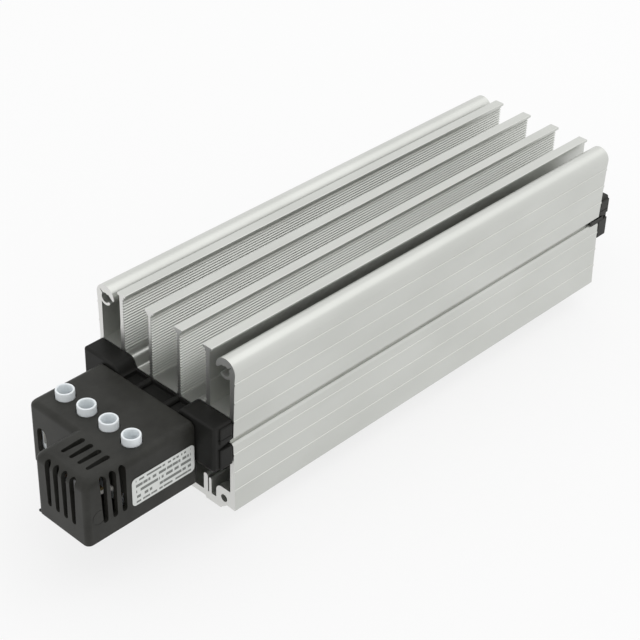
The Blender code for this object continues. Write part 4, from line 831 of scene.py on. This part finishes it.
def rounded_box(low, high, radius, steps=SMALL_STEPS):
    """A rectangle with rounded corners, as an outline."""
    corners = [(high[0], high[1], 0), (low[0], high[1], 90), (low[0], low[1], 180), (high[0], low[1], 270)]
    points = []
    for a, b, start in corners:
        centre = (a - math.copysign(radius, a - low[0] - MERGE_DISTANCE),
                  b - math.copysign(radius, b - low[1] - MERGE_DISTANCE))
        points += arc(centre, radius, start, start + 90, steps)
    return points


def make_body():
    """The extruded body with fine ribs, thin ridges and the rivet holes of the rail clip."""
    half = [(0, FLOOR_LOW)] + fin(INNER_FIN, FLOOR_LOW, FLOOR_LOW, True) + floor_step()
    half += fin(OUTER_FIN, FLOOR_HIGH, FLOOR_HIGH, False) + [(WALL_INSIDE, FLOOR_HIGH)]
    half += wall_top() + wall_outside() + profile_foot()
    loops = [mirrored(half), lower_chamber(),
             rounded_box((-CHANNEL_HALF, CHANNEL_FLOOR), (CHANNEL_HALF, CHANNEL_ROOF), CHANNEL_ROUND,
                         TIGHT_STEPS)]
    for side in (1, -1):
        a, b = sorted((side * CAVITY_INNER, side * CAVITY_OUTER))
        loops.append(rounded_box((a, CAVITY_LOW), (b, CAVITY_HIGH), CAVITY_ROUND))
        loops.append(circle((side * PORT_PLACE, PORT_HEIGHT), PORT_RADIUS))
        loops.append(circle((side * FOOT_PORT_PLACE, FOOT_PORT_HEIGHT), FOOT_PORT_RADIUS))
    body = swept("ribbed_body", loops, 0, PROFILE_LENGTH, "X")
    carve(body, [rod("rivet_hole", RIVET_HOLE, (PROFILE_LENGTH / 2 + side * RIVET_PLACE, 0, -CUT),
                     (PROFILE_LENGTH / 2 + side * RIVET_PLACE, 0, PLATE_THICKNESS + CUT), "Z")
                 for side in (1, -1)])
    finished(body, FINISHES["anodised_aluminium"], ["heatsink_profile"])


# ---------------------------------------------------------------- plastic end pieces
def end_outline(inset):
    """Outline of an end piece drawn in by an inset; its top follows the floor of the body."""
    drop = END_CORE_DROP + inset
    half = [(0, FLOOR_LOW - drop)] + [(a + inset * END_STEP_SHIFT, b - drop) for a, b in floor_step()]
    edge, low, side = FLOOR_HIGH - drop, END_BOTTOM + inset, END_CORE_HALF - inset
    corner = max(END_ROUND - inset, END_CORNER_LEFT)
    half += arc((side - corner, edge - corner), corner, 90, 0, SMALL_STEPS)
    half += arc((side - corner, low + corner), corner, 0, -90, SMALL_STEPS)
    half.append((0, low))
    return mirrored(half)


def span(inside, outwards, near, far):
    """The two ends along X, in order, of a stretch that is measured outwards from the inside face."""
    return sorted((inside + outwards * near, inside + outwards * far))


def make_end_piece(name, inside, outwards, depth):
    """A moulded end piece with slotted side blocks, that grows outwards along X from its inside face."""
    rings = [[(inside, a, b) for a, b in end_outline(0)]]
    for i in range(SMALL_STEPS + 1):
        turn = math.pi / 2 * i / SMALL_STEPS
        front = inside + outwards * (depth - END_ROUND * (1 - math.sin(turn)))
        rings.append([(front, a, b) for a, b in end_outline(END_ROUND * (1 - math.cos(turn)))])
    piece = lofted(name, rings)
    joined = []
    cuts = []
    low, high = span(inside, outwards, 0, END_BLOCK_LENGTH)
    for side in (1, -1):
        for bottom, top in (END_UPPER_BLOCK, END_LOWER_BLOCK):
            a, b = sorted((side * END_BLOCK_HALF, side * (END_BLOCK_HALF - END_BLOCK_ROOT)))
            joined.append(block("side_block", (low, a, bottom), (high, b, top), END_BLOCK_ROUND))
        a, b = sorted((side * (END_BLOCK_HALF + CUT), side * (END_BLOCK_HALF - END_WEDGE_DEPTH)))
        wedge = [(inside + outwards * along, height) for along, height in END_WEDGE]
        cuts.append(swept("wedge_slit", [wedge], a, b - a, "Y"))
        a, b = sorted((side * (END_BLOCK_HALF + CUT), side * (END_BLOCK_HALF - END_FINE_DEPTH)))
        fine_low, fine_high = span(inside, outwards, END_FINE_ROOM, END_BLOCK_LENGTH + END_FINE_ROOM)
        cuts.append(block("fine_slit", (fine_low, a, END_FINE_HEIGHT),
                          (fine_high, b, END_FINE_HEIGHT + END_FINE_SLIT)))
    carve(piece, joined, "UNION")
    carve(piece, cuts)
    return piece


def make_bracket():
    """The bracket between the body and the box: a long pocket with two webs, lead window, screw holes."""
    bracket = make_end_piece("stepped_bracket", -FIT_GAP, -1, BRACKET_DEPTH)
    front = -FIT_GAP - BRACKET_DEPTH
    low, high = front + POCKET_FRONT_WALL, -FIT_GAP - POCKET_REAR_WALL
    carve(bracket, [block("pocket", (low, -POCKET_HALF, POCKET_BOTTOM),
                          (high, POCKET_HALF, FLOOR_LOW + CUT), POCKET_ROUND)])
    carve(bracket, [rod("web", WEB_RADIUS, (low - WEB_ROOT, side * WEB_PLACE, WEB_HEIGHT),
                        (high + WEB_ROOT, side * WEB_PLACE, WEB_HEIGHT), "X") for side in (1, -1)], "UNION")
    cuts = [block("window", (front - CUT, -WINDOW_HALF, CHANNEL_FLOOR), (CUT, WINDOW_HALF, CHANNEL_ROOF))]
    for side in (1, -1):
        cuts.append(rod("screw_hole", PORT_RADIUS, (front - CUT, side * PORT_PLACE, PORT_HEIGHT),
                        (CUT, side * PORT_PLACE, PORT_HEIGHT), "X"))
    carve(bracket, cuts)
    finished(bracket, FINISHES["bracket_polyamide"], ["terminal_end_bracket"])


def make_cap():
    """The cap on the far end, with a finger that snaps into each side groove."""
    inside = PROFILE_LENGTH + FIT_GAP
    cap = make_end_piece("finger_cap", inside, 1, CAP_DEPTH)
    fingers = []
    vertex = wall_face(GROOVE_HEIGHT) - GROOVE_DEPTH + FIT_GAP
    face = wall_face(GROOVE_HEIGHT) - FINGER_INSET
    slope = GROOVE_OPENING / 2 - GROOVE_FLAT / 2 - FIT_GAP
    for side in (1, -1):
        rings = []
        for along, share in FINGER_RINGS:
            x = inside + along
            rings.append([(x, side * vertex, GROOVE_HEIGHT + FINGER_TIP * share),
                          (x, side * (vertex + (face - vertex) * share), GROOVE_HEIGHT + slope * share),
                          (x, side * (vertex + (face - vertex) * share), GROOVE_HEIGHT - slope * share),
                          (x, side * vertex, GROOVE_HEIGHT - FINGER_TIP * share)])
        fingers.append(lofted("finger", rings))
    carve(cap, fingers, "UNION")
    finished(cap, FINISHES["black_polyamide"], ["far_end_cap"])


# ---------------------------------------------------------------- terminal box
def box_ring(level, wall, ceiling):
    """The box's outline at a level, a wall's thickness in from its outside, closing to its ceiling."""
    def drawn_in(radius):
        radius = max(radius - wall, BOX_INNER_ROUND)
        rise = level - (ceiling - radius)
        return wall + (radius - math.sqrt(max(0.0, radius ** 2 - rise ** 2)) if rise > 0 else 0.0)

    front, far = CAGE_FRONT + drawn_in(CAGE_FRONT_ROUND), CAGE_FAR - drawn_in(CAGE_FAR_ROUND)
    near, main = -BOX_HALF + drawn_in(BOX_NEAR_ROUND), BOX_FRONT + drawn_in(BOX_MAIN_ROUND)
    side, back = BOX_HALF - drawn_in(BOX_FAR_ROUND), BOX_BACK + (CUT if wall else -drawn_in(BOX_BACK_ROUND))
    corner, tight = max(BOX_CORNER_ROUND - wall, BOX_INNER_ROUND), BOX_INNER_ROUND
    outline = arc((back - tight, near + tight), tight, 360, 270, TIGHT_STEPS)
    outline += arc((front + corner, near + corner), corner, 270, 180, CORNER_STEPS)
    outline += arc((front + corner, far - corner), corner, 180, 90, CORNER_STEPS)
    outline += arc((main - tight, far + tight), tight, 270, 360, TIGHT_STEPS)
    outline += arc((main + corner, side - corner), corner, 180, 90, CORNER_STEPS)
    outline += arc((back - tight, side - tight), tight, 90, 0, TIGHT_STEPS)
    return [(a, b, level) for a, b in outline]


def box_skin(name, bottom, wall, ceiling):
    """The outside of the box, or its hollow where a wall thickness is given."""
    start = ceiling - max(CAGE_FRONT_ROUND - wall, BOX_INNER_ROUND)
    levels = [bottom] + [start + (ceiling - start) * math.sin(math.pi / 2 * i / BOX_STEPS)
                         for i in range(BOX_STEPS + 1)]
    return lofted(name, [box_ring(level, wall, ceiling) for level in levels])


def slot(low, high, low_width, high_width):
    """An upright slot with round ends, as an outline; the places are the ends' outermost points."""
    a, b = low_width / 2, high_width / 2
    return (arc((high[0], high[1] - b), b, 0, 180, SLOT_STEPS)
            + arc((low[0], low[1] + a), a, 180, 360, SLOT_STEPS))


def corner_spur():
    """The small pointed spur at the bottom of the cage's far front corner."""
    corner = Vector((CAGE_FRONT + BOX_CORNER_ROUND, CAGE_FAR - BOX_CORNER_ROUND, BOX_BOTTOM))
    low = [corner]
    for turn, reach in ((-SPUR_SPREAD, SPUR_ROOT), (0, SPUR_REACH), (SPUR_SPREAD, SPUR_ROOT)):
        turn = math.radians(45 + turn)
        low.append(corner + Vector((-math.cos(turn), math.sin(turn), 0)) * (BOX_CORNER_ROUND + reach))
    return lofted("spur", [low, [point + Vector((0, 0, SPUR_HEIGHT)) for point in low]])


def make_cover():
    """The box cover: one moulded shell with tapered vents, wire entries and holes for the collars.

    Its inner wall is painted shade: a dark sheet between the cage and the terminal strip, above the leads,
    that stands in for the shade the vents show inside the box.
    """
    cover = box_skin("vented_cover", BOX_BOTTOM, 0.0, BOX_TOP)
    carve(cover, [corner_spur()], "UNION")
    carve(cover, [box_skin("hollow", BOX_BOTTOM - CUT, BOX_WALL, BOX_CEILING)])
    # Painted shade: a dark wall inside the box that stands in for the shade behind the vents
    root = BOX_WALL / 2
    carve(cover, [block("painted_shade_wall", (BOX_FRONT + root, -BOX_HALF + root, SHADE_WALL_BOTTOM),
                        (BOX_FRONT + root + SHADE_WALL_THICKNESS, CAGE_FAR + root, BOX_CEILING + root))], "UNION")
    cuts = []
    for place in POLES:
        cuts.append(rod("collar_hole", COLLAR_RADIUS + FIT_GAP, (POLE_X, place, BOX_CEILING - CUT),
                        (POLE_X, place, BOX_TOP + CUT), "Z"))
    for i in range(FRONT_SLOTS):
        across = CAGE_FAR - FRONT_SLOT_PLACE - i * FRONT_SLOT_PITCH
        front = slot((across, SLOT_BOTTOM), (across, SLOT_TOP), FRONT_SLOT_FOOT, FRONT_SLOT_HEAD)
        cuts.append(swept("front_slot", [front], CAGE_FRONT - CUT, CUT + SLOT_DEPTH, "X"))
        top = slot((across, TOP_SLOT_START), (across, TOP_SLOT_END), TOP_SLOT_FRONT, TOP_SLOT_REAR)
        cuts.append(swept("top_slot", [[(b, a) for a, b in top]], BOX_CEILING - CUT, BOX_WALL + 2 * CUT, "Z"))
    for i in range(SIDE_SLOTS):
        along = CAGE_FRONT + SIDE_SLOT_PLACE + i * SIDE_SLOT_PITCH
        side = slot((along + SIDE_SLOT_LEAN, SLOT_BOTTOM), (along, SLOT_TOP), SIDE_SLOT_FOOT, SIDE_SLOT_HEAD)
        cuts.append(swept("side_slot", [side], -BOX_HALF - CUT, CUT + SLOT_DEPTH, "Y"))
    for place in POLES[:2]:
        across = place + ENTRY_OFFSET
        opening = slot((across, ENTRY_BOTTOM), (across, ENTRY_TOP), ENTRY_WIDTH, ENTRY_WIDTH)
        cuts.append(swept("wire_entry", [opening], BOX_FRONT - CUT, 2 * CUT + BOX_WALL, "X"))
    mark = [circle(EJECTOR_PLACE, radius, EJECTOR_STEPS)
            for radius in (EJECTOR_RADIUS, EJECTOR_RADIUS - EJECTOR_LINE)]
    cuts.append(swept("ejector_mark", mark, -BOX_HALF - CUT, CUT + EJECTOR_DEPTH, "Y"))
    carve(cover, cuts)
    finished(cover, FINISHES["black_polyamide"], ["terminal_box_cover"])


# ---------------------------------------------------------------- terminal strip
def make_strip():
    """The nylon terminal strip, with a round-lipped collar over each pole."""
    outline = [(STRIP_HALF, STRIP_BOTTOM), (STRIP_HALF, STRIP_TOP)]
    notch = STRIP_NOTCH_WIDTH / 2
    for place, following in zip(POLES, POLES[1:]):
        middle = (place + following) / 2
        outline.append((middle + notch, STRIP_TOP))
        outline += arc((middle, STRIP_TOP - STRIP_NOTCH_DEPTH + notch), notch, 0, -180, SLOT_STEPS)
        outline.append((middle - notch, STRIP_TOP))
    outline += [(-STRIP_HALF, STRIP_TOP), (-STRIP_HALF, STRIP_BOTTOM)]
    start = POLE_X - STRIP_DEPTH / 2
    strip = swept("collared_strip", [outline], start, STRIP_DEPTH, "X")
    lip, middle = (COLLAR_RADIUS - COLLAR_BORE) / 2, (COLLAR_RADIUS + COLLAR_BORE) / 2
    tube = [(COLLAR_BORE, STRIP_TOP - CUT), (COLLAR_RADIUS, STRIP_TOP - CUT)]
    tube += arc((middle, COLLAR_TOP - lip), lip, 0, 180, CORNER_STEPS)
    half, tunnel_floor = INSERT_WIDTH / 2 + FIT_GAP, INSERT_TOP - INSERT_HEIGHT - FIT_GAP
    bores, collars, tunnels = [], [], []
    for place in POLES:
        bores.append(rod("bore", COLLAR_BORE, (POLE_X, place, INSERT_TOP - CUT),
                         (POLE_X, place, STRIP_TOP + CUT), "Z", COLLAR_STEPS))
        collars.append(turned("collar", tube, (POLE_X, place, 0), COLLAR_STEPS))
        tunnels.append(block("insert_tunnel", (start - CUT, place - half, tunnel_floor),
                             (start + STRIP_DEPTH + CUT, place + half, INSERT_TOP + FIT_GAP)))
    carve(strip, bores)
    carve(strip, collars, "UNION")
    carve(strip, tunnels)
    finished(strip, FINISHES["natural_nylon"], ["terminal_strip"])


# ---------------------------------------------------------------- carried-over nodes
def soften(name, radius):
    """Round the edges of a CAD node that stays, and shade it smoothly."""
    kept = nodes[name]
    kept.data.shade_smooth()
    weld = kept.modifiers.new("weld", "WELD")
    weld.merge_threshold = MERGE_DISTANCE
    rounding = kept.modifiers.new("rounding", "BEVEL")
    rounding.limit_method = "ANGLE"
    rounding.angle_limit = math.radians(SOFTENED_ANGLE)
    rounding.width = radius
    rounding.segments = SOFT_EDGE_STEPS
    kept.modifiers.new("flat_faces_flat", "WEIGHTED_NORMAL")


make_body()
make_bracket()
make_cap()
make_cover()
make_strip()
for name in SOFTENED:
    soften(name, SOFT_EDGE)


# ---------------------------------------------------------------- camera, light and floor
def camera_matrix():
    """Camera axes from the solved azimuth, elevation and roll, at the solved place."""
    back = Vector((math.sin(CAMERA_AZIMUTH) * math.cos(CAMERA_ELEVATION),
                   -math.cos(CAMERA_AZIMUTH) * math.cos(CAMERA_ELEVATION), math.sin(CAMERA_ELEVATION)))
    level = (-back).cross(Vector((0, 0, 1))).normalized()
    upright = back.cross(level)
    right = math.cos(CAMERA_ROLL) * level + math.sin(CAMERA_ROLL) * upright
    up = math.cos(CAMERA_ROLL) * upright - math.sin(CAMERA_ROLL) * level
    turn = Matrix((right, up, back)).transposed().to_4x4()
    return Matrix.Translation(PLACE + CAMERA_PLACE) @ turn


camera_data = bpy.data.cameras.new("camera")
camera_data.lens = CAMERA_LENS
camera_data.sensor_width = SENSOR
camera_data.clip_start = CAMERA_NEAR
camera = bpy.data.objects.new("camera", camera_data)
camera.matrix_world = camera_matrix()
bpy.context.scene.collection.objects.link(camera)
bpy.context.scene.camera = camera

softbox = bpy.data.lights.new("overhead_softbox", "AREA")
softbox.shape = "RECTANGLE"
softbox.size, softbox.size_y = OVERHEAD_SIZE
softbox.energy = OVERHEAD_POWER
lamp = bpy.data.objects.new("overhead_softbox", softbox)
lamp.location = OVERHEAD_PLACE
bpy.context.scene.collection.objects.link(lamp)


def shown_rays(tree):
    """1 for rays that show the background itself: from the camera, by reflection or through glass."""
    rays = node(tree, "ShaderNodeLightPath")
    seen = rays.outputs["Is Camera Ray"]
    for kind in ("Is Glossy Ray", "Is Transmission Ray"):
        seen = maths(tree, "MAXIMUM", seen, rays.outputs[kind])
    return seen


world = bpy.data.worlds.new("studio")
world.use_nodes = True
sky = world.node_tree
sky.nodes.clear()
lit = node(sky, "ShaderNodeBackground", {"Color": WHITE, "Strength": WORLD_STRENGTH})
seen = node(sky, "ShaderNodeBackground", {"Color": WHITE, "Strength": 1.0})
both = node(sky, "ShaderNodeMixShader", {0: shown_rays(sky), 1: lit.outputs[0], 2: seen.outputs[0]})
node(sky, "ShaderNodeOutputWorld", {"Surface": both.outputs[0]})
bpy.context.scene.world = world

floor_mesh = bpy.data.meshes.new("floor")
corners = [(a * STUDIO_REACH, b * STUDIO_REACH, 0) for a, b in ((-1, -1), (1, -1), (1, 1), (-1, 1))]
floor_mesh.from_pydata(corners, [], [(0, 1, 2, 3)])
floor = bpy.data.objects.new("floor", floor_mesh)
floor.location.z = -FLOOR_DROP
bpy.context.scene.collection.objects.link(floor)
floor_finish, tree = new_material("pale_floor")
lit = node(tree, "ShaderNodeBsdfDiffuse", {"Color": FLOOR_GREY})
glow = node(tree, "ShaderNodeEmission", {"Color": WHITE, "Strength": FLOOR_GLOW})
share = maths(tree, "MULTIPLY", shown_rays(tree), FLOOR_GLOW_SHARE)
both = node(tree, "ShaderNodeMixShader", {0: share, 1: lit.outputs[0], 2: glow.outputs[0]})
node(tree, "ShaderNodeOutputMaterial", {"Surface": both.outputs[0]})
floor.data.materials.append(floor_finish)

bpy.context.scene.view_settings.view_transform = "Standard"
